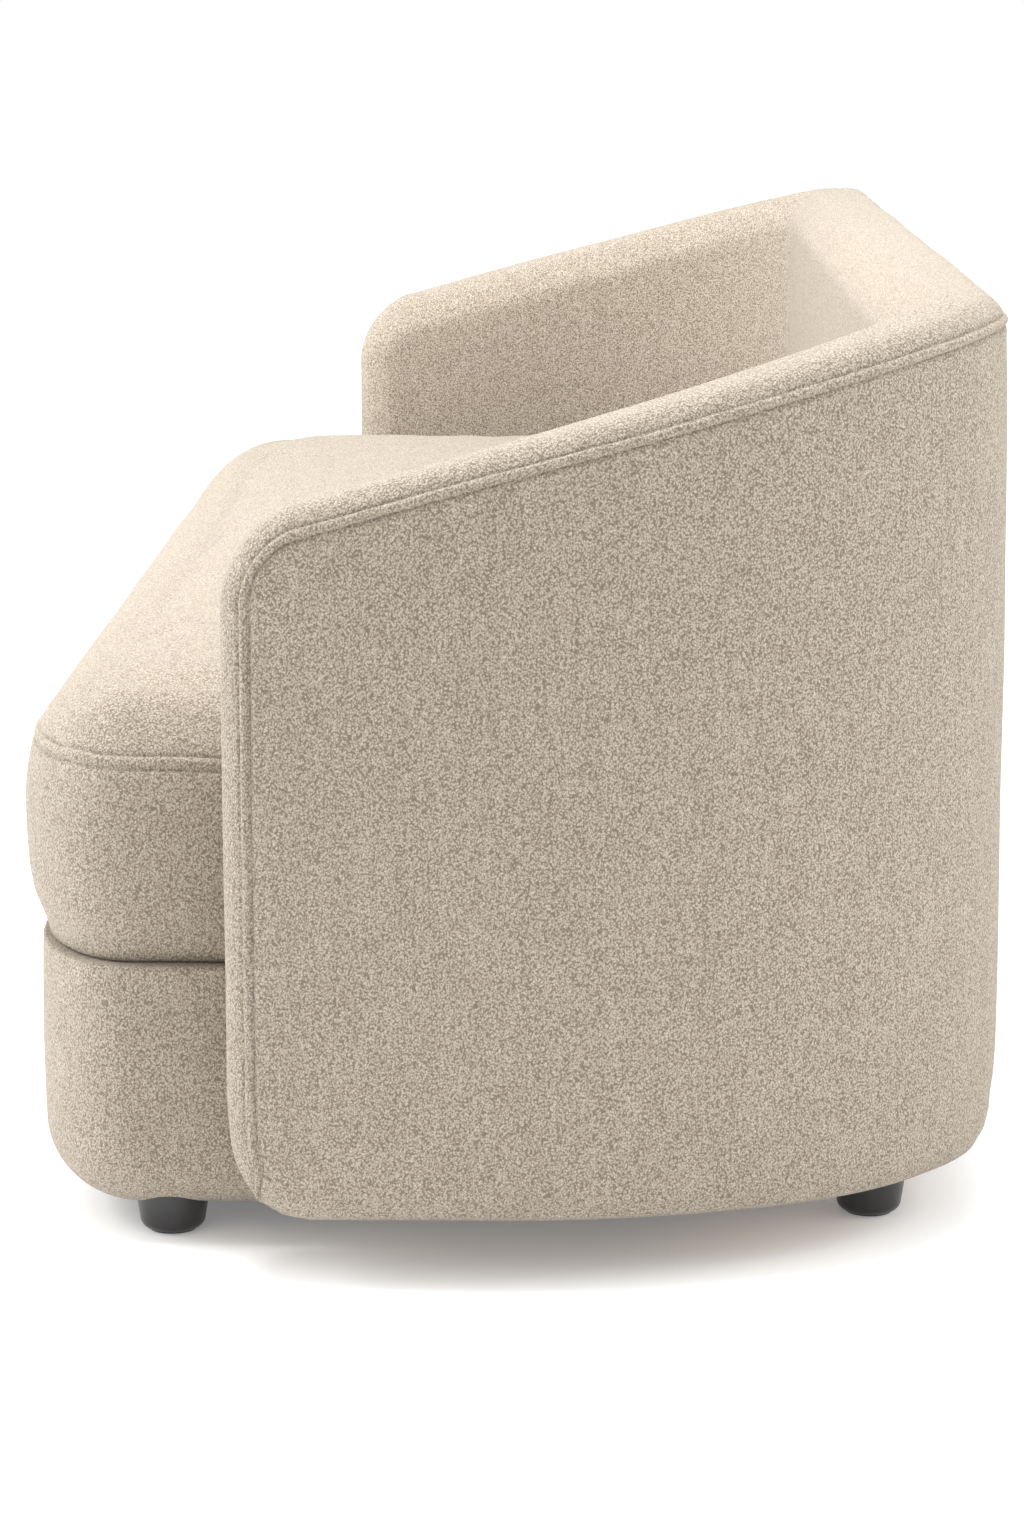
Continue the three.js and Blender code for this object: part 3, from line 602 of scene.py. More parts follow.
# %% Points of the shell
ROWS_BEFORE, ROWS_AFTER = 6, 24
seam_row = ROWS_BEFORE + len(PANEL_SIDE)
frame_rows = seam_row + 1 + len(WRAP_SIDE) + ROWS_AFTER
frame_points = np.zeros((frame_rows, len(columns), 3))
frame_seam = np.zeros((frame_rows, len(columns)))  # distance from the seam
frame_relief = np.zeros(len(columns))
frame_depth = np.zeros((frame_rows, len(columns)))

for c, (kind, side, measure) in enumerate(columns):
    line = edge_line(kind, measure)
    length = np.concatenate([[0], np.cumsum(np.linalg.norm(np.diff(line, axis=0), axis=1))])
    outside = np.interp(SEAM_SETBACK, line[EDGE_STEPS::-1, 0], length[EDGE_STEPS::-1])
    underneath = np.interp(UNDER_SEAM, line[:, 1], length)
    dive = {"bottom": 1.0, "bottom_arc": smooth_step(measure, 0.35, 1.35)}.get(kind, 0.0)
    seam = outside + (underneath - outside) * dive
    at = rows_about(seam, length[-1], ROWS_BEFORE, ROWS_AFTER)
    setback, depth = (np.interp(at, length, line[:, i]) for i in (0, 1))
    along, height = unrolled(kind, side, measure, setback)
    x, y, nx, ny = plan(along).T
    frame_points[:, c] = np.stack([x + nx * depth, y + ny * depth, height], -1)
    frame_seam[:, c] = at - seam
    frame_depth[:, c] = depth
    frame_relief[c] = kind != "bottom"
    if kind == "bottom_arc":
        frame_relief[c] = 1 - smooth_step(measure, 0.9, 1.5)


def face_grid(depth):
    """The middle of one face of the shell, inside the swept edge."""
    low = SHELL_BOTTOM + ARM_RADIUS
    high = crest(along_top) - ARM_RADIUS
    height = low + (high - low) * share_up[:, None]
    x, y, nx, ny = plan(along_top).T
    flat = np.broadcast_to(np.stack([x + nx * depth, y + ny * depth], -1), (*height.shape, 2))
    return np.concatenate([flat, height[..., None]], -1)


outer_grid, inner_grid = face_grid(0.0), face_grid(SHELL_THICKNESS)
UP, ACROSS = len(share_up), len(along_top)
shell_points = np.concatenate(
    [part.reshape(-1, 3) for part in (outer_grid, inner_grid, frame_points[1:-1])]
)


def rim_index(offset):
    """Numbers of the face grid's border points, one for each column of the swept edge."""
    grid = offset + np.arange(UP * ACROSS).reshape(UP, ACROSS)
    return np.concatenate(
        [
            grid[-1],
            np.full(ARC_STEPS, grid[-1, -1]),
            grid[::-1, -1],
            np.full(ARC_STEPS, grid[0, -1]),
            grid[0, ::-1],
            np.full(ARC_STEPS, grid[0, 0]),
            grid[:, 0],
            np.full(ARC_STEPS, grid[-1, 0]),
        ]
    )


inner_start = UP * ACROSS
edge_start = 2 * inner_start
edge_index = np.concatenate(
    [
        [rim_index(0)],
        edge_start + np.arange((frame_rows - 2) * len(columns)).reshape(frame_rows - 2, -1),
        [rim_index(inner_start)],
    ]
)
edge_quads = edge_index.reshape(-1)[net_faces(frame_rows, len(columns), closed=True)]
outer_quads = net_faces(UP, ACROSS)
inner_quads = inner_start + net_faces(UP, ACROSS)[:, ::-1]
print("shell points", len(shell_points), "quads", len(edge_quads) + 2 * len(outer_quads))


# %% [markdown]
# ## Padding under the cover
#
# Cloth pulled over foam is never quite flat. The faces belly out a little between the seams, a slow
# unevenness runs over them, and the seam itself wanders by a fraction of a millimetre. These moves are
# made square to the surface, on the whole shell at once, so that the two covers still meet.

# %% Belly, unevenness and seam
FACE_BELLY, SEAT_FACE_BELLY = 4.6 * MM, 2.0 * MM
BELLY_REACH = 110 * MM


def face_belly(border_distance, height):
    return height * (1 - np.exp(-border_distance / BELLY_REACH))


seam_distance = np.concatenate([np.ones(2 * inner_start), frame_seam[1:-1].reshape(-1)])
relief_share = np.concatenate([np.zeros(2 * inner_start), np.tile(frame_relief, frame_rows - 2)])
wander = 0.45 * MM * np.array([noise.noise(Vector((c * 0.11, 0, 0))) for c in range(len(columns))])
swell = 1 + 0.22 * np.array([noise.noise(Vector((c * 0.07, 5, 0))) for c in range(len(columns))])
wander_all = np.concatenate([np.zeros(2 * inner_start), np.tile(wander, frame_rows - 2)])
swell_all = np.concatenate([np.ones(2 * inner_start), np.tile(swell, frame_rows - 2)])

depth_all = np.concatenate(
    [np.zeros(inner_start), np.full(inner_start, SHELL_THICKNESS), frame_depth[1:-1].reshape(-1)]
)
from_seam = np.where(seam_distance < 0, -seam_distance, 0)
grid_gap = np.full((UP, ACROSS), ARM_RADIUS - SEAM_SETBACK)
grid_gap += np.minimum(np.arange(UP)[::-1, None] * ROW_STEP, 0.3)
from_seam[:inner_start] = grid_gap.reshape(-1)
on_outside = np.concatenate([np.ones(inner_start), np.zeros(inner_start), seam_distance[edge_start:] < 0])
on_seat_face = (depth_all > SHELL_THICKNESS - 5 * MM).astype(float)
tucked = smooth_step(shell_points[:, 2], SHELL_BOTTOM, SHELL_BOTTOM + 90 * MM)

shell_quads = np.concatenate([edge_quads, outer_quads, inner_quads])
shell_normals = normals_of(shell_points, shell_quads)
move = on_outside * face_belly(from_seam, FACE_BELLY) * tucked
move += on_seat_face * SEAT_FACE_BELLY * tucked * smooth_step(depth_all, 0.085, SHELL_THICKNESS)
move += softness(shell_points, 0.13, 0.9 * MM)
move += relief_share * swell_all * seam_relief(seam_distance + wander_all)
shell_points = shell_points + shell_normals * move[:, None]

# The fronts of the arms draw back towards the floor, in a longer curve than the top corners.
FRONT_DRAW, DRAW_FROM, DRAW_TO, DRAW_REACH = 4 * MM, 100 * MM, 30 * MM, 120 * MM
over_edge = shell_points[:, 2] - SHELL_BOTTOM
from_front = shell_points[:, 1] - ARM_FRONT_Y
drawn = FRONT_DRAW * (1 - smooth_step(over_edge, DRAW_TO, DRAW_FROM))
shell_points[:, 1] += drawn * (1 - smooth_step(from_front, 0, DRAW_REACH))
print("shell moved by", (move.min() / MM).round(1), "to", (move.max() / MM).round(1), "mm")

# %% [markdown]
# ## Two covers
#
# The panel is everything behind the seam. The wrap is the rest: the padded edge, the fronts of the arms
# and the seat face down to the deck, where it is pulled through and fixed out of sight. Each becomes a
# sheet of cloth with a thickness, as the real ones are.


# %% The outside panel and the wrap
def cover_from(name, quads, *replaced):
    used, numbers = np.unique(quads, return_inverse=True)
    faces = numbers.reshape(quads.shape)
    piece = mesh_piece(name, shell_points[used], faces, BOUCLE, "sofa_body", "boucle")
    give_thickness(piece)
    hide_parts(*replaced)
    print(name, len(used), "points")
    return piece


row_of, column_of = np.divmod(np.arange(len(edge_quads)), len(columns))
in_panel = row_of < seam_row
underneath = np.array([k == "bottom" for k, _, _ in columns])[column_of]
beside_deck = shell_points[inner_quads][:, :, 2].max(1) < DECK_LEVEL
cover_from("outside_panel", np.concatenate([edge_quads[in_panel], outer_quads]), "outside_cover")
cover_from(
    "shell_wrap",
    np.concatenate([edge_quads[~in_panel & ~underneath], inner_quads[~beside_deck]]),
    "inside_cover",
    "right_arm_front_pad",
    "left_arm_front_pad",
)

# %% [markdown]
# ## The seat cushion
#
# One long box cushion: a side band, a top panel with a soft rolled edge, and a felled seam where they
# meet. Its plan follows the shell inside and ends in two rounded corners in front of the arms. A net of
# rings is drawn a little slack, pumped up as cloth, and the seam is pressed in afterwards.

# %% Plan of the cushion
SEAT_DEPTH_IN = HALF_LENGTH - seat_high.x
CORNER_RX, CORNER_RY = 180 * MM, 100 * MM
SPINE_X = 0.56
SPINE_Y = (FRONT_Y + seat_high.y) / 2
PLAN_STEP = 9 * MM


def seat_end(depth, setback):
    """Right end of the seat's plan, from the middle of the front round to the middle of the back."""
    half, front = HALF_LENGTH - depth, FRONT_Y + setback
    rx, ry = CORNER_RX - setback, CORNER_RY - setback
    turn = np.linspace(0, math.pi / 2, 60)
    corner = np.stack([half - rx + rx * np.sin(turn), front + ry - ry * np.cos(turn)], -1)
    rear = plan(np.linspace(BACK_Y - CORNER_Y - ARM_FRONT_Y, TOTAL / 2, 260))
    rear = rear[:, :2] + rear[:, 2:] * depth
    return np.concatenate([corner, rear[rear[:, 0] > 0]])


def plan_ring(depth, setback):
    """The whole plan of a seat: columns that face each other front and back share the same X."""
    line = seat_end(depth, setback)
    facing = np.linspace(-SPINE_X, SPINE_X, int(2 * SPINE_X / PLAN_STEP))[1:-1]
    front = np.stack([facing, np.full_like(facing, line[0, 1])], -1)
    end = np.concatenate([[(SPINE_X, line[0, 1])], line[line[:, 0] > SPINE_X], [(SPINE_X, line[-1, 1])]])
    end = evenly(end, END_POINTS)
    back = np.stack([facing[::-1], np.full_like(facing, line[-1, 1])], -1)
    return np.concatenate([front, end, back, end[::-1] * (-1, 1)])


def evenly(points, count):
    """A number of points at even steps along a line of points."""
    length = np.concatenate([[0], np.cumsum(np.linalg.norm(np.diff(points, axis=0), axis=1))])
    at = np.linspace(0, length[-1], count)
    return np.stack([np.interp(at, length, points[:, i]) for i in range(2)], -1)


END_POINTS = 150
spine = plan_ring(SEAT_DEPTH_IN, 0.0)
spine = np.stack([np.clip(spine[:, 0], -SPINE_X, SPINE_X), np.full(len(spine), SPINE_Y)], -1)


def drawn_in(rim, share):
    """A ring part of the way from a rim to the spine."""
    return rim + (spine - rim) * share


def lifted(ring, z):
    """The points of a plan at a height."""
    return np.column_stack([ring, np.full(len(ring), z)])


print("plan of", len(spine), "points")

# %% Rings of the cushion, slack
SEAT_SEAM_Z = 0.373
SEAT_CREST = 0.4285  # the crown at the middle, before it is filled
SLACK = 5 * MM
# Height and inset of the side, from the underside to the top; the seam lies at the seam's height.
SIDE_LINE = np.array(
    [
        (SEAT_BOTTOM - 0.5 * MM, 22 * MM),
        (SEAT_BOTTOM + 0.5 * MM, 11 * MM),
        (SEAT_BOTTOM + 11 * MM, 9.7 * MM),
        (SEAT_BOTTOM + 24 * MM, 7.5 * MM),
        (SEAT_BOTTOM + 40 * MM, 3.8 * MM),
        (SEAT_BOTTOM + 52 * MM, 1.8 * MM),
        (SEAT_BOTTOM + 70 * MM, 0.5 * MM),
        (0.314, 0),
        (0.335, 0),
        (0.355, 2 * MM),
        (SEAT_SEAM_Z, 6 * MM),
        (0.392, 14 * MM),
        (0.404, 25 * MM),
        (0.4135, 40 * MM),
        (0.419, 58 * MM),
    ]
)
TOP_SHARES = np.linspace(0, 1, 34)[1:]
ROWS_APART = 14 * MM  # the coarse rows stop this far from the seam


def side_rows(seam_rows):
    """(height, inset) rows along the side, with the seam's own rows in their places."""
    length = np.concatenate([[0], np.cumsum(np.linalg.norm(np.diff(SIDE_LINE, axis=0), axis=1))])
    seam = length[np.searchsorted(SIDE_LINE[:, 0], SEAT_SEAM_Z)]
    below, above = np.linspace(0, seam - ROWS_APART, 24), np.linspace(seam + ROWS_APART, length[-1], 10)
    at = np.sort(np.concatenate([below, above, seam + seam_rows]))
    # a smooth line along the listed points
    fine = np.linspace(0, length[-1], 400)
    line = np.stack([np.interp(fine, length, SIDE_LINE[:, i]) for i in (0, 1)], -1)
    for _ in range(60):
        line[1:-1] = (line[:-2] + line[2:]) / 4 + line[1:-1] / 2
    return np.stack([np.interp(at, fine, line[:, i]) for i in (0, 1)], -1), at - seam


def cushion_net():
    seam_rows = np.concatenate([-PANEL_SIDE, [0], WRAP_SIDE])
    side, from_seam = side_rows(seam_rows)
    rings = [(z, plan_ring(SEAT_DEPTH_IN + inset + SLACK, inset + SLACK)) for z, inset in side]
    bottom_rim, top_rim = rings[0][1], rings[-1][1]
    under = [lifted(drawn_in(bottom_rim, t), SEAT_BOTTOM + 1 * MM) for t in np.linspace(1, 0, 10)[:-1]]
    low = side[-1, 0]
    over = [
        lifted(drawn_in(top_rim, t), low + (SEAT_CREST - low) * math.sin(t * math.pi / 2))
        for t in TOP_SHARES
    ]
    net = np.stack(under + [lifted(ring, z) for z, ring in rings] + over)
    distance = np.concatenate([np.full(len(under), -1.0), from_seam, np.full(len(over), 1.0)])
    return net, distance


net, ring_distance = cushion_net()
RINGS, AROUND = net.shape[:2]
cushion_points = net.reshape(-1, 3)
cushion_quads = net_faces(RINGS, AROUND, closed=True)
print("cushion net", RINGS, "rings of", AROUND)

# %% [markdown]
# ## Filling the cushion
#
# The slack net is copied, remeshed to even small squares and run as cloth with air pressure and no
# gravity. How far each bit of cloth went is then carried back to the net, capped, so that the net keeps
# its seam rows. The underside rests on the deck and the back and ends lean on the shell, so they
# hardly move.

# %% Cloth simulation
FILL_VOXEL = 12 * MM
FILL_PRESSURE = 4.0
FILL_FRAMES = 20
FILL_CAP = 24 * MM


def object_of(name, points, quads):
    mesh = bpy.data.meshes.new(name)
    mesh.from_pydata(points.tolist(), [], [list(dict.fromkeys(map(int, q))) for q in quads])
    made = bpy.data.objects.new(name, mesh)
    bpy.context.scene.collection.objects.link(made)
    return made


def points_of(obj):
    depsgraph = bpy.context.evaluated_depsgraph_get()
    mesh = obj.evaluated_get(depsgraph).to_mesh()
    flat = np.zeros(len(mesh.vertices) * 3)
    mesh.vertices.foreach_get("co", flat)
    return flat.reshape(-1, 3)


def weld(points, quads):
    """Joins points that coincide, such as the two halves of a cushion's middle line."""
    keys = np.round(points, 6)
    _, first, numbers = np.unique(keys, axis=0, return_index=True, return_inverse=True)
    return points[first], numbers.reshape(-1)[quads]


def fill_with_air(points, quads):
    """How far each point goes when the closed net is pumped up as cloth."""
    body = object_of("fill_trial", *weld(points, quads))
    remesh = body.modifiers.new("even_squares", "REMESH")
    remesh.mode = "VOXEL"
    remesh.voxel_size = FILL_VOXEL
    bpy.context.view_layer.objects.active = body
    body.select_set(True)
    bpy.ops.object.modifier_apply(modifier=remesh.name)
    before = points_of(body)
    cloth = body.modifiers.new("filling", "CLOTH")
    cloth.settings.quality = 6
    cloth.settings.mass = 0.4
    cloth.settings.tension_stiffness = 24
    cloth.settings.compression_stiffness = 24
    cloth.settings.shear_stiffness = 10
    cloth.settings.bending_stiffness = 2.5
    cloth.settings.use_pressure = True
    cloth.settings.uniform_pressure_force = FILL_PRESSURE
    cloth.settings.effector_weights.gravity = 0
    cloth.collision_settings.use_collision = False
    cloth.point_cache.frame_start, cloth.point_cache.frame_end = 1, FILL_FRAMES
    for step in range(1, FILL_FRAMES + 1):
        bpy.context.scene.frame_set(step)
    moved = points_of(body) - before
    bpy.context.scene.frame_set(1)
    print("cloth points", len(before), "largest move", (np.abs(moved).max() / MM).round(1), "mm")
    tree = KDTree(len(before))
    for i, p in enumerate(before):
        tree.insert(p, i)
    tree.balance()
    carried = np.zeros_like(points)
    for i, p in enumerate(points):
        near = tree.find_n(p, 6)
        weight = np.array([1 / (d + 2 * MM) ** 2 for _, _, d in near])
        carried[i] = (moved[[n for _, n, _ in near]] * weight[:, None]).sum(0) / weight.sum()
    bpy.data.objects.remove(body)
    return carried


def capped(move, most):
    length = np.linalg.norm(move, axis=1, keepdims=True)
    return move * most * np.tanh(length / most) / np.maximum(length, 1e-9)


FOAM_PUSH = 11 * MM  # the foam core holds the cover out this far, even where air alone would let it in
cushion_normals = normals_of(cushion_points, cushion_quads)
filled = np.zeros_like(cushion_points)
filled = capped(fill_with_air(cushion_points, cushion_quads), FILL_CAP)
outward = (filled * cushion_normals).sum(1, keepdims=True)
filled += cushion_normals * np.maximum(FOAM_PUSH - outward, 0)

# %% Shape of the filled cushion
# How freely each part can move: the front and top fill out, the rest leans on its neighbours.
x, y, z = cushion_points.T
resting = smooth_step(z, SEAT_BOTTOM + 3 * MM, SEAT_BOTTOM + 40 * MM)
between_arms = smooth_step(y, ARM_FRONT_Y - 60 * MM, ARM_FRONT_Y + 20 * MM)
on_side = smooth_step(np.abs(cushion_normals[:, :2]).max(1), 0.35, 0.8)
free = resting * (1 - on_side * (0.5 + 0.2 * between_arms))
at_back = smooth_step(y, seat_high.y - 60 * MM, seat_high.y - 20 * MM) * on_side
free *= 1 - at_back
uneven = cushion_normals * softness(cushion_points, 0.16, 1.1 * MM)[:, None] * resting[:, None]
cushion_points = cushion_points + filled * free[:, None] + uneven
ring_wander = 0.5 * MM * np.array([noise.noise(Vector((c * 0.09, 0, 3))) for c in range(AROUND)])
seam_at = (ring_distance[:, None] + ring_wander).reshape(-1)
cushion_normals = normals_of(cushion_points, cushion_quads)
cushion_points += cushion_normals * seam_relief(seam_at)[:, None]

# The zip lies in a shallow placket along the back.
zip_low, zip_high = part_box("cushion_zip")
PLACKET_DEPTH, PLACKET_LIP = 3.4 * MM, 3 * MM
x, y, z = cushion_points.T
in_height = smooth_step(z, zip_low.z - PLACKET_LIP, zip_low.z)
in_height *= 1 - smooth_step(z, zip_high.z, zip_high.z + PLACKET_LIP)
in_length = 1 - smooth_step(np.abs(x), zip_high.x, zip_high.x + 8 * MM)
at_rear = (y > seat_high.y - 30 * MM).astype(float)
cushion_points[:, 1] -= PLACKET_DEPTH * in_height * in_length * at_rear
pressed = np.minimum(cushion_points[:, 1], seat_high.y + 1 * MM)
cushion_points[:, 1] = np.where(at_rear > 0, pressed, cushion_points[:, 1])
print("cushion from", (cushion_points.min(0) / MM).round(1), "to", (cushion_points.max(0) / MM).round(1))

cushion_points, cushion_quads = weld(cushion_points, cushion_quads)
seat_cushion = mesh_piece(
    "seat_cushion_cover", cushion_points, cushion_quads, BOUCLE, "seat_cushion", "boucle"
)
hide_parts("cushion_cover", "cushion_foam")

# %% [markdown]
# ## The plinth cover
#
# The plinth is a padded rail: fabric pulled over foam from under the cushion, down the face and under.
# It is a net swept round the plan, with its lower edge rolled generously under, because a hard edge
# would wear through there.

# %% Plinth
PLINTH_INSET = plinth_low.y - FRONT_Y
PLINTH_DEPTH_IN = HALF_LENGTH - plinth_high.x
UNDER_ROUND, OVER_ROUND, PLINTH_BELLY = 47 * MM, 3 * MM, 1.5 * MM
PLINTH_RISE = 0.8 * MM  # the padding is pressed up against the cushion
UNDER_FLANGE, OVER_FLANGE = 66 * MM, 40 * MM
PLINTH_START = ARM_FRONT_Y + 25 * MM
PLINTH_AHEAD, PLINTH_END = 119, 60  # points of half the plan: along the front, and round the corner


def plinth_section():
    """(inset, height) from the flange under the cushion, down the face, to the flange underneath."""
    top, bottom = plinth_high.z + PLINTH_RISE, plinth_low.z
    turn = np.linspace(0, math.pi / 2, 10)
    over = np.stack([OVER_ROUND * (1 - np.sin(turn)), top - OVER_ROUND * (1 - np.cos(turn))], -1)
    turn = np.linspace(0, math.pi / 2, 18)
    under = np.stack([UNDER_ROUND * (1 - np.cos(turn)), bottom + UNDER_ROUND * (1 - np.sin(turn))], -1)
    face = np.linspace(over[-1, 1], under[0, 1], 16)[1:-1]
    share = (face - under[0, 1]) / (over[-1, 1] - under[0, 1])
    face = np.stack([-PLINTH_BELLY * np.sin(share * math.pi) ** 0.8, face], -1)
    flange = [(OVER_FLANGE, top), (OVER_FLANGE / 2, top)]
    return np.concatenate([flange, over, face, under, [(UNDER_FLANGE, bottom)]])


def plinth_path(inset):
    end = seat_end(PLINTH_DEPTH_IN + inset, PLINTH_INSET + inset)
    end = end[end[:, 1] < PLINTH_START]
    end = np.concatenate([end, [(end[-1, 0], PLINTH_START)]])
    ahead = np.linspace(0, end[0, 0], PLINTH_AHEAD + 1)[:-1]
    ahead = np.stack([ahead, np.full(PLINTH_AHEAD, end[0, 1])], -1)
    half = np.concatenate([ahead, evenly(end, PLINTH_END)])
    return np.concatenate([half[:0:-1] * (-1, 1), half])


plinth_net = np.stack([lifted(plinth_path(inset), z) for inset, z in plinth_section()])
plinth_points = plinth_net.reshape(-1, 3)
plinth_quads = net_faces(*plinth_net.shape[:2])[:, ::-1]
plinth_normals = normals_of(plinth_points, plinth_quads)
plinth_points = plinth_points + plinth_normals * softness(plinth_points, 0.14, 1.2 * MM)[:, None]
plinth = mesh_piece("plinth_skirt", plinth_points, plinth_quads, BOUCLE, "sofa_body", "boucle")
give_thickness(plinth)
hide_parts("plinth_cover")
print("plinth", len(plinth_points), "points")

# %% [markdown]
# ## Materials under the covers
#
# Everything the frame brings along is seen when the cushion is lifted or the sofa is tipped up, so it
# gets its own material: grain in the timber, plies in the bent panels, pores in the foam, a weave in the
# cloths, a zinc bloom on the steel.


# %% Cloth, timber, foam and metal
def stripes(s, point, direction, scale, distortion):
    return s.node(
        "ShaderNodeTexWave",
        {"bands_direction": direction},
        output="Fac",
        **{"Vector": point, "Scale": scale, "Distortion": distortion, "Detail": 1.0},
    )


def woven(name, pitch, light, dark, roughness=0.85, depth=0.35 * MM):
    """A plain weave: threads one way over threads the other way."""
    s = Sheet(name, roughness)
    point = s.place()
    across, along = (stripes(s, point, direction, 0.314 / pitch, 0.4) for direction in "XY")
    height = across * along + s.noise(point, 1 / pitch, 2.0) * 0.4
    s.colour(s.ramp(height, (0.15, dark), (0.95, light)))
    s.bump(height, depth, 0.8)
    return s.material


def grained(name, pale, deep, stretch, rings=90.0, roughness=0.62, pores=0.0):
    """Sawn or turned wood: bands of growth drawn out along the grain, with fine pores."""
    s = Sheet(name, roughness)
    point = s.place(stretch)
    bend = s.noise(point, 6.0, 3.0, 0.6)
    bands = s.node("ShaderNodeMath", {"operation": "SINE"}, bend * rings) * 0.5 + 0.5
    fine = s.noise(point, 120.0, 3.0, 0.6)
    share = bands * 0.6 + fine * 0.4
    s.colour(s.ramp(share, (0.1, deep), (0.9, pale)))
    s.feed(s.shader.inputs["Roughness"], fine * 0.2 + (roughness - 0.1))
    s.bump(share + fine * pores, 0.25 * MM, 0.5)
    return s.material


def plies(name):
    """Bent plywood: a grained face, with the layers showing as stripes on the cut edges."""
    s = Sheet(name, 0.55)
    point = s.place((14, 14, 1.2))
    face = s.noise(point, 5.0, 4.0, 0.65)
    layers = stripes(s, s.place(), "DIAGONAL", 110.0, 1.2)
    s.colour(s.mix(face, (0.44, 0.29, 0.155), (0.66, 0.485, 0.30)))
    s.bump(face + layers * 0.35, 0.2 * MM, 0.5)
    return s.material


def cellular(name, pale, deep, cell, depth):
    """Foam or wadding: open cells under a soft skin."""
    s = Sheet(name, 0.95)
    point = s.place()
    pores = s.node("ShaderNodeTexVoronoi", {}, output="Distance", **{"Vector": point, "Scale": 1 / cell})
    cloud = s.noise(point, 14.0, 4.0, 0.6)
    height = pores * 0.7 + cloud * 0.5
    s.colour(s.ramp(height, (0.15, deep), (0.85, pale)))
    s.bump(height, depth, 0.7)
    return s.material


def plated(name):
    """Zinc-plated steel with a faint spangle and dull patches."""
    s = Sheet(name, 0.34, 1.0)
    point = s.place()
    spangle = s.node("ShaderNodeTexVoronoi", {}, output="Distance", **{"Vector": point, "Scale": 260.0})
    dull = s.noise(point, 60.0, 4.0, 0.65)
    s.colour(s.mix(dull, (0.50, 0.51, 0.52), (0.72, 0.72, 0.70)))
    s.feed(s.shader.inputs["Roughness"], dull * 0.3 + spangle * 0.12 + 0.16)
    s.bump(spangle + dull, 0.05 * MM, 0.4)
    return s.material


def stained(name):
    """Hardwood stained black under satin lacquer: the pores still show, and edges are rubbed paler."""
    s = Sheet(name, 0.34)
    point = s.place((1, 1, 0.16))
    pores = s.noise(point, 420.0, 3.0, 0.7)
    cloud = s.noise(s.place(), 30.0, 3.0)
    rubbed = s.node("ShaderNodeNewGeometry", {}, output="Pointiness").between(0.515, 0.60)
    black = s.mix(pores, (0.008, 0.0075, 0.008), (0.020, 0.018, 0.018))
    s.colour(s.mix(rubbed * cloud * 0.5, black, (0.075, 0.06, 0.05)))
    s.feed(s.shader.inputs["Roughness"], pores * 0.14 + cloud * 0.12 + 0.25)
    s.bump(pores, 0.12 * MM, 0.4)
    s.set(Coat_Weight=0.25, Coat_Roughness=0.3)
    return s.material


BLACK_WOVEN = woven("black_woven_cloth", 1.1 * MM, (0.040, 0.040, 0.044), (0.010, 0.010, 0.012))
FINISH = {  # one for each of the record's material slots
    "boucle": BOUCLE,
    "timber": grained("planed_softwood", (0.76, 0.57, 0.36), (0.55, 0.36, 0.19), (1.1, 7, 7)),
    "plywood": plies("bent_plywood"),
    "foam": cellular("upholstery_foam", (0.84, 0.79, 0.58), (0.62, 0.55, 0.34), 1.6 * MM, 0.7 * MM),
    "wadding": cellular("fibre_wadding", (0.90, 0.89, 0.86), (0.70, 0.69, 0.66), 4 * MM, 2 * MM),
    "steel": plated("zinc_plated_steel"),
    "black_wood": stained("black_stained_wood"),
    "webbing": woven("elastic_webbing", 2.4 * MM, (0.34, 0.30, 0.25), (0.15, 0.13, 0.11), 0.8, 0.6 * MM),
    "zip_tape": woven("zip_tape", 0.7 * MM, (0.56, 0.50, 0.42), (0.36, 0.31, 0.25), 0.7, 0.15 * MM),
    "black_cloth": BLACK_WOVEN,
}
slot_of = {part["node"]: part["material_slot"] for part in frame["record"]["subparts"]}
for name, node in frame["nodes"].items():
    node.data.materials.clear()
    node.data.materials.append(FINISH[slot_of[name]])
print(len(slot_of), "frame nodes in", len(FINISH), "finishes")

# %% [markdown]
# ## Feet
#
# Four low turned feet: a short cone that widens to a fine bead at the top, a rolled lower edge, and a
# felt glide let into the underside.


# %% Turned feet and glides
def turned(profile, columns=72):
    """Points and quads of a turned solid; the profile's ends lie on the axis."""
    around = np.linspace(0, 2 * math.pi, columns, endpoint=False)
    radius, height = np.array(profile).T
    rings = np.stack(
        [
            radius[:, None] * np.cos(around),
            radius[:, None] * np.sin(around),
            np.broadcast_to(height[:, None], (len(radius), columns)),
        ],
        -1,
    )
    return weld(rings.reshape(-1, 3), net_faces(len(radius), columns, closed=True))


GLIDE_RADIUS, GLIDE_HEIGHT = 19 * MM, 1.6 * MM
foot_low, foot_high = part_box("right_front_foot")
FOOT_HEIGHT, TOP_R = foot_high.z, (foot_high.x - foot_low.x) / 2
FOOT_R, FOOT_EDGE = TOP_R - 5 * MM, 9 * MM


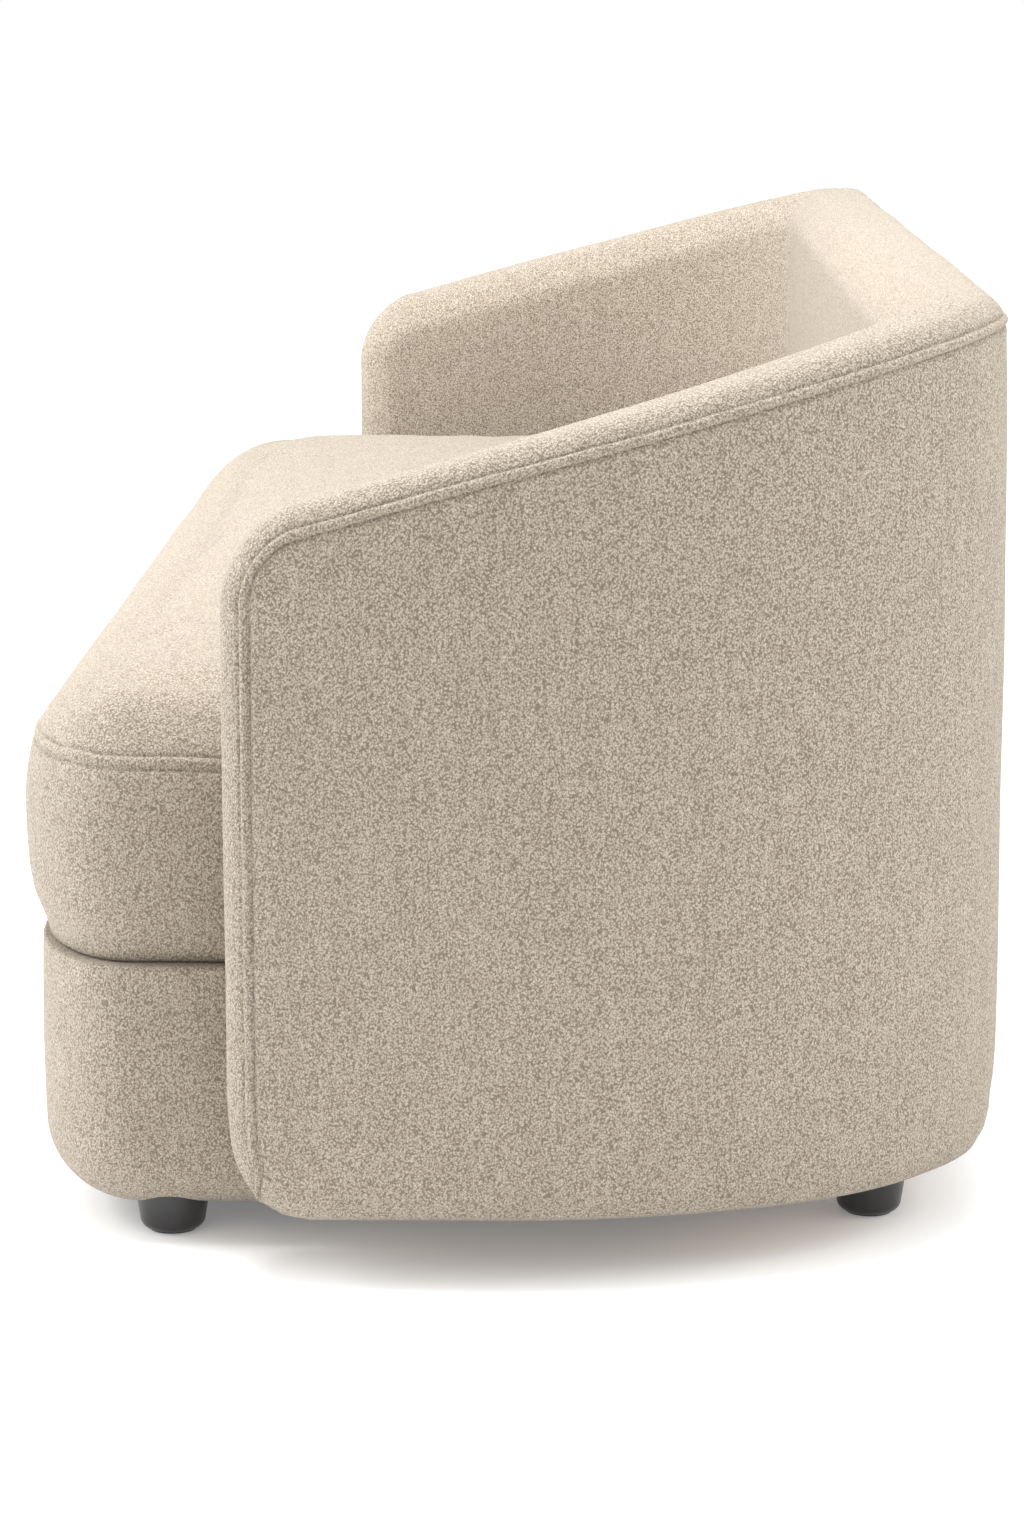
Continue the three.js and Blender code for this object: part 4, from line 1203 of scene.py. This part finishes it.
def foot_profile():
    turn = np.linspace(0, math.pi / 2, 12)
    edge = [
        (FOOT_R - FOOT_EDGE + FOOT_EDGE * math.sin(t), GLIDE_HEIGHT * 0.7 + FOOT_EDGE * (1 - math.cos(t)))
        for t in turn
    ]
    low, high = edge[-1][1], FOOT_HEIGHT - 7 * MM
    side = []
    for share in np.linspace(0, 1, 12)[1:]:
        radius = FOOT_R + (TOP_R - 1.2 * MM - FOOT_R) * share + 0.5 * MM * math.sin(share * math.pi)
        side.append((radius, low + (high - low) * share))
    neck = [(TOP_R - 2.0 * MM, high + 0.7 * MM), (TOP_R - 2.0 * MM, high + 1.3 * MM)]
    bead = [
        (TOP_R - 1.6 * MM + 1.6 * MM * math.sin(t), high + 3.6 * MM - 1.9 * MM * math.cos(t))
        for t in np.linspace(0, math.pi, 10)
    ]
    return [(0, edge[0][1]), *edge, *side, *neck, *bead, (TOP_R - 2 * MM, FOOT_HEIGHT), (0, FOOT_HEIGHT)]


FELT = cellular("felt", (0.10, 0.10, 0.10), (0.03, 0.03, 0.03), 0.8 * MM, 0.4 * MM)
glide_line = [
    (0, 0),
    (GLIDE_RADIUS - 0.6 * MM, 0),
    (GLIDE_RADIUS, 0.5 * MM),
    (GLIDE_RADIUS, GLIDE_HEIGHT),
    (0, GLIDE_HEIGHT),
]
for place in ("right_front", "right_rear", "left_front", "left_rear"):
    low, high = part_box(place + "_foot")
    axis = np.array([(low.x + high.x) / 2, (low.y + high.y) / 2, 0])
    for part, line, material in (
        ("turned_foot", foot_profile(), FINISH["black_wood"]),
        ("glide", glide_line, FELT),
    ):
        points, quads = turned(line)
        quads = quads[:, ::-1]
        piece = mesh_piece(f"{place}_{part}", points + axis, quads, material, "sofa_body", "black_wood")
        piece.data.set_sharp_from_angle(angle=math.radians(40))
        if part == "turned_foot":
            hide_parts(place + "_foot")
print("foot", round(FOOT_HEIGHT / MM, 1), "mm high,", round(2 * TOP_R / MM, 1), "mm across the top")

# %% [markdown]
# ## Deck and dust cover
#
# Under the cushion lies a foam deck wrapped in black woven cloth, slightly crowned and sewn down in
# three long lines. Under the frame a thinner black cloth is stapled up, and sags a little between its
# edges.

# %% The deck
deck_low, deck_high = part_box("deck_pad")
DECK_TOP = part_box("deck_cloth")[1].z
DECK_IN, DECK_FRONT = HALF_LENGTH - deck_high.x, deck_low.y - FRONT_Y
DECK_CROWN, DECK_EDGE = 2.0 * MM, 7 * MM
SEWN_LINES = np.array([-0.145, 0.0, 0.145])


def closed_net(rings, middle_z):
    """A closed net from rings, filled in to the spine below and above."""
    (bottom_rim, bottom_z), (top_rim, top_z) = rings[0], rings[-1]
    under = [lifted(drawn_in(bottom_rim, t), bottom_z) for t in np.linspace(1, 0, 8)[:-1]]
    over = [
        lifted(drawn_in(top_rim, t), top_z + (middle_z - top_z) * math.sin(t * math.pi / 2))
        for t in np.linspace(0, 1, 60)[1:]
    ]
    net = np.stack(under + [lifted(ring, z) for ring, z in rings] + over)
    return net.reshape(-1, 3), net_faces(*net.shape[:2], closed=True)


deck_rings = []
for t in np.linspace(0, math.pi / 2, 7):
    inset = DECK_EDGE * (1 - math.sin(t))
    ring = plan_ring(DECK_IN + inset, DECK_FRONT + inset)
    deck_rings.append((ring, deck_low.z + DECK_EDGE * (1 - math.cos(t))))
for t in np.linspace(0, math.pi / 2, 9):
    inset = DECK_EDGE * (1 - math.cos(t))
    ring = plan_ring(DECK_IN + inset, DECK_FRONT + inset)
    deck_rings.append((ring, DECK_TOP - DECK_EDGE * (1 - math.sin(t))))
points, quads = closed_net(deck_rings, DECK_TOP + DECK_CROWN)
on_top = points[:, 2] > DECK_TOP - 0.5 * MM
for line in SEWN_LINES:
    points[:, 2] -= on_top * 1.5 * MM * np.exp(-(((points[:, 1] - line) / (4 * MM)) ** 2))
points[:, 2] += on_top * softness(points, 0.09, 0.5 * MM)
points[:, 2] = np.minimum(points[:, 2], SEAT_BOTTOM - 0.8 * MM)
deck = mesh_piece("deck_cover", *weld(points, quads), BLACK_WOVEN, "sofa_body", "black_cloth")
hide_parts("deck_pad", "deck_cloth")
print("deck", len(points), "points, top at", (points[:, 2].max() / MM).round(1), "mm")

# %% The dust cover
dust_low, dust_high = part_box("dust_cover")
DUST_SAG = 3.0 * MM
dust_in, dust_front = HALF_LENGTH - dust_high.x, dust_low.y - FRONT_Y
rim = plan_ring(dust_in, dust_front)
shares = np.linspace(0, 1, 30)
net = np.stack(
    [
        lifted(drawn_in(rim, t), dust_low.z - DUST_SAG * math.sin(t * math.pi / 2) ** 2)
        for t in shares
    ]
)
points = net.reshape(-1, 3)
tuck = np.repeat(np.sin(shares * math.pi), len(rim))
points[:, 2] += 0.8 * MM * tuck * np.array([noise.noise(Vector(p * 9)) for p in points])
points, quads = weld(points, net_faces(*net.shape[:2], closed=True))
dust = mesh_piece("dust_cloth", points, quads, BLACK_WOVEN, "sofa_body", "black_cloth")
give_thickness(dust, 0.8 * MM)
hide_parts("dust_cover")
print("dust cover sags", DUST_SAG / MM, "mm")

# %% [markdown]
# ## The zip
#
# The zip's coil is two rows of small nylon teeth, set against each other along the middle of the tape.

# %% Zip teeth
TOOTH_PITCH, TOOTH = 2.0 * MM, np.array([1.1, 0.36, 2.6]) * MM  # low enough for the slider to pass
TOOTH_TAPER, ROW_OFFSET, ZIP_END = 0.72, 0.9 * MM, 6 * MM
corner = np.array([(x, y, z) for x in (-1, 1) for y in (0, 1) for z in (-1, 1)])
tooth_faces = np.array([(0, 1, 3, 2), (4, 6, 7, 5), (0, 4, 5, 1), (2, 3, 7, 6), (0, 2, 6, 4), (1, 5, 7, 3)])
taper = np.where(corner[:, 1:2] > 0, TOOTH_TAPER, 1.0)
tooth = corner * TOOTH * (0.5, 1, 0.5) * np.concatenate([taper, np.ones((8, 1)), taper], 1)
first, last = zip_low.x + ZIP_END, zip_high.x - ZIP_END
count = int((last - first) / TOOTH_PITCH)
teeth = []
for row in (-1, 1):
    for i in range(count):
        x = first + (i + 0.5 * (row > 0)) * TOOTH_PITCH
        teeth.append(tooth + (x, zip_high.y, (zip_low.z + zip_high.z) / 2 + row * ROW_OFFSET))
faces = (np.arange(len(teeth))[:, None, None] * 8 + tooth_faces).reshape(-1, 4)
coil = mesh_piece(
    "zip_teeth", np.concatenate(teeth), faces, FINISH["zip_tape"], "seat_cushion", "zip_tape", smooth=False
)
print("zip", len(teeth), "teeth")

# %% [markdown]
# ## Measuring
#
# The covers may stand a little proud of the frame. The box round everything that is shown, the floor left
# out, is measured.

# %% Measure and finish
low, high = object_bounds()
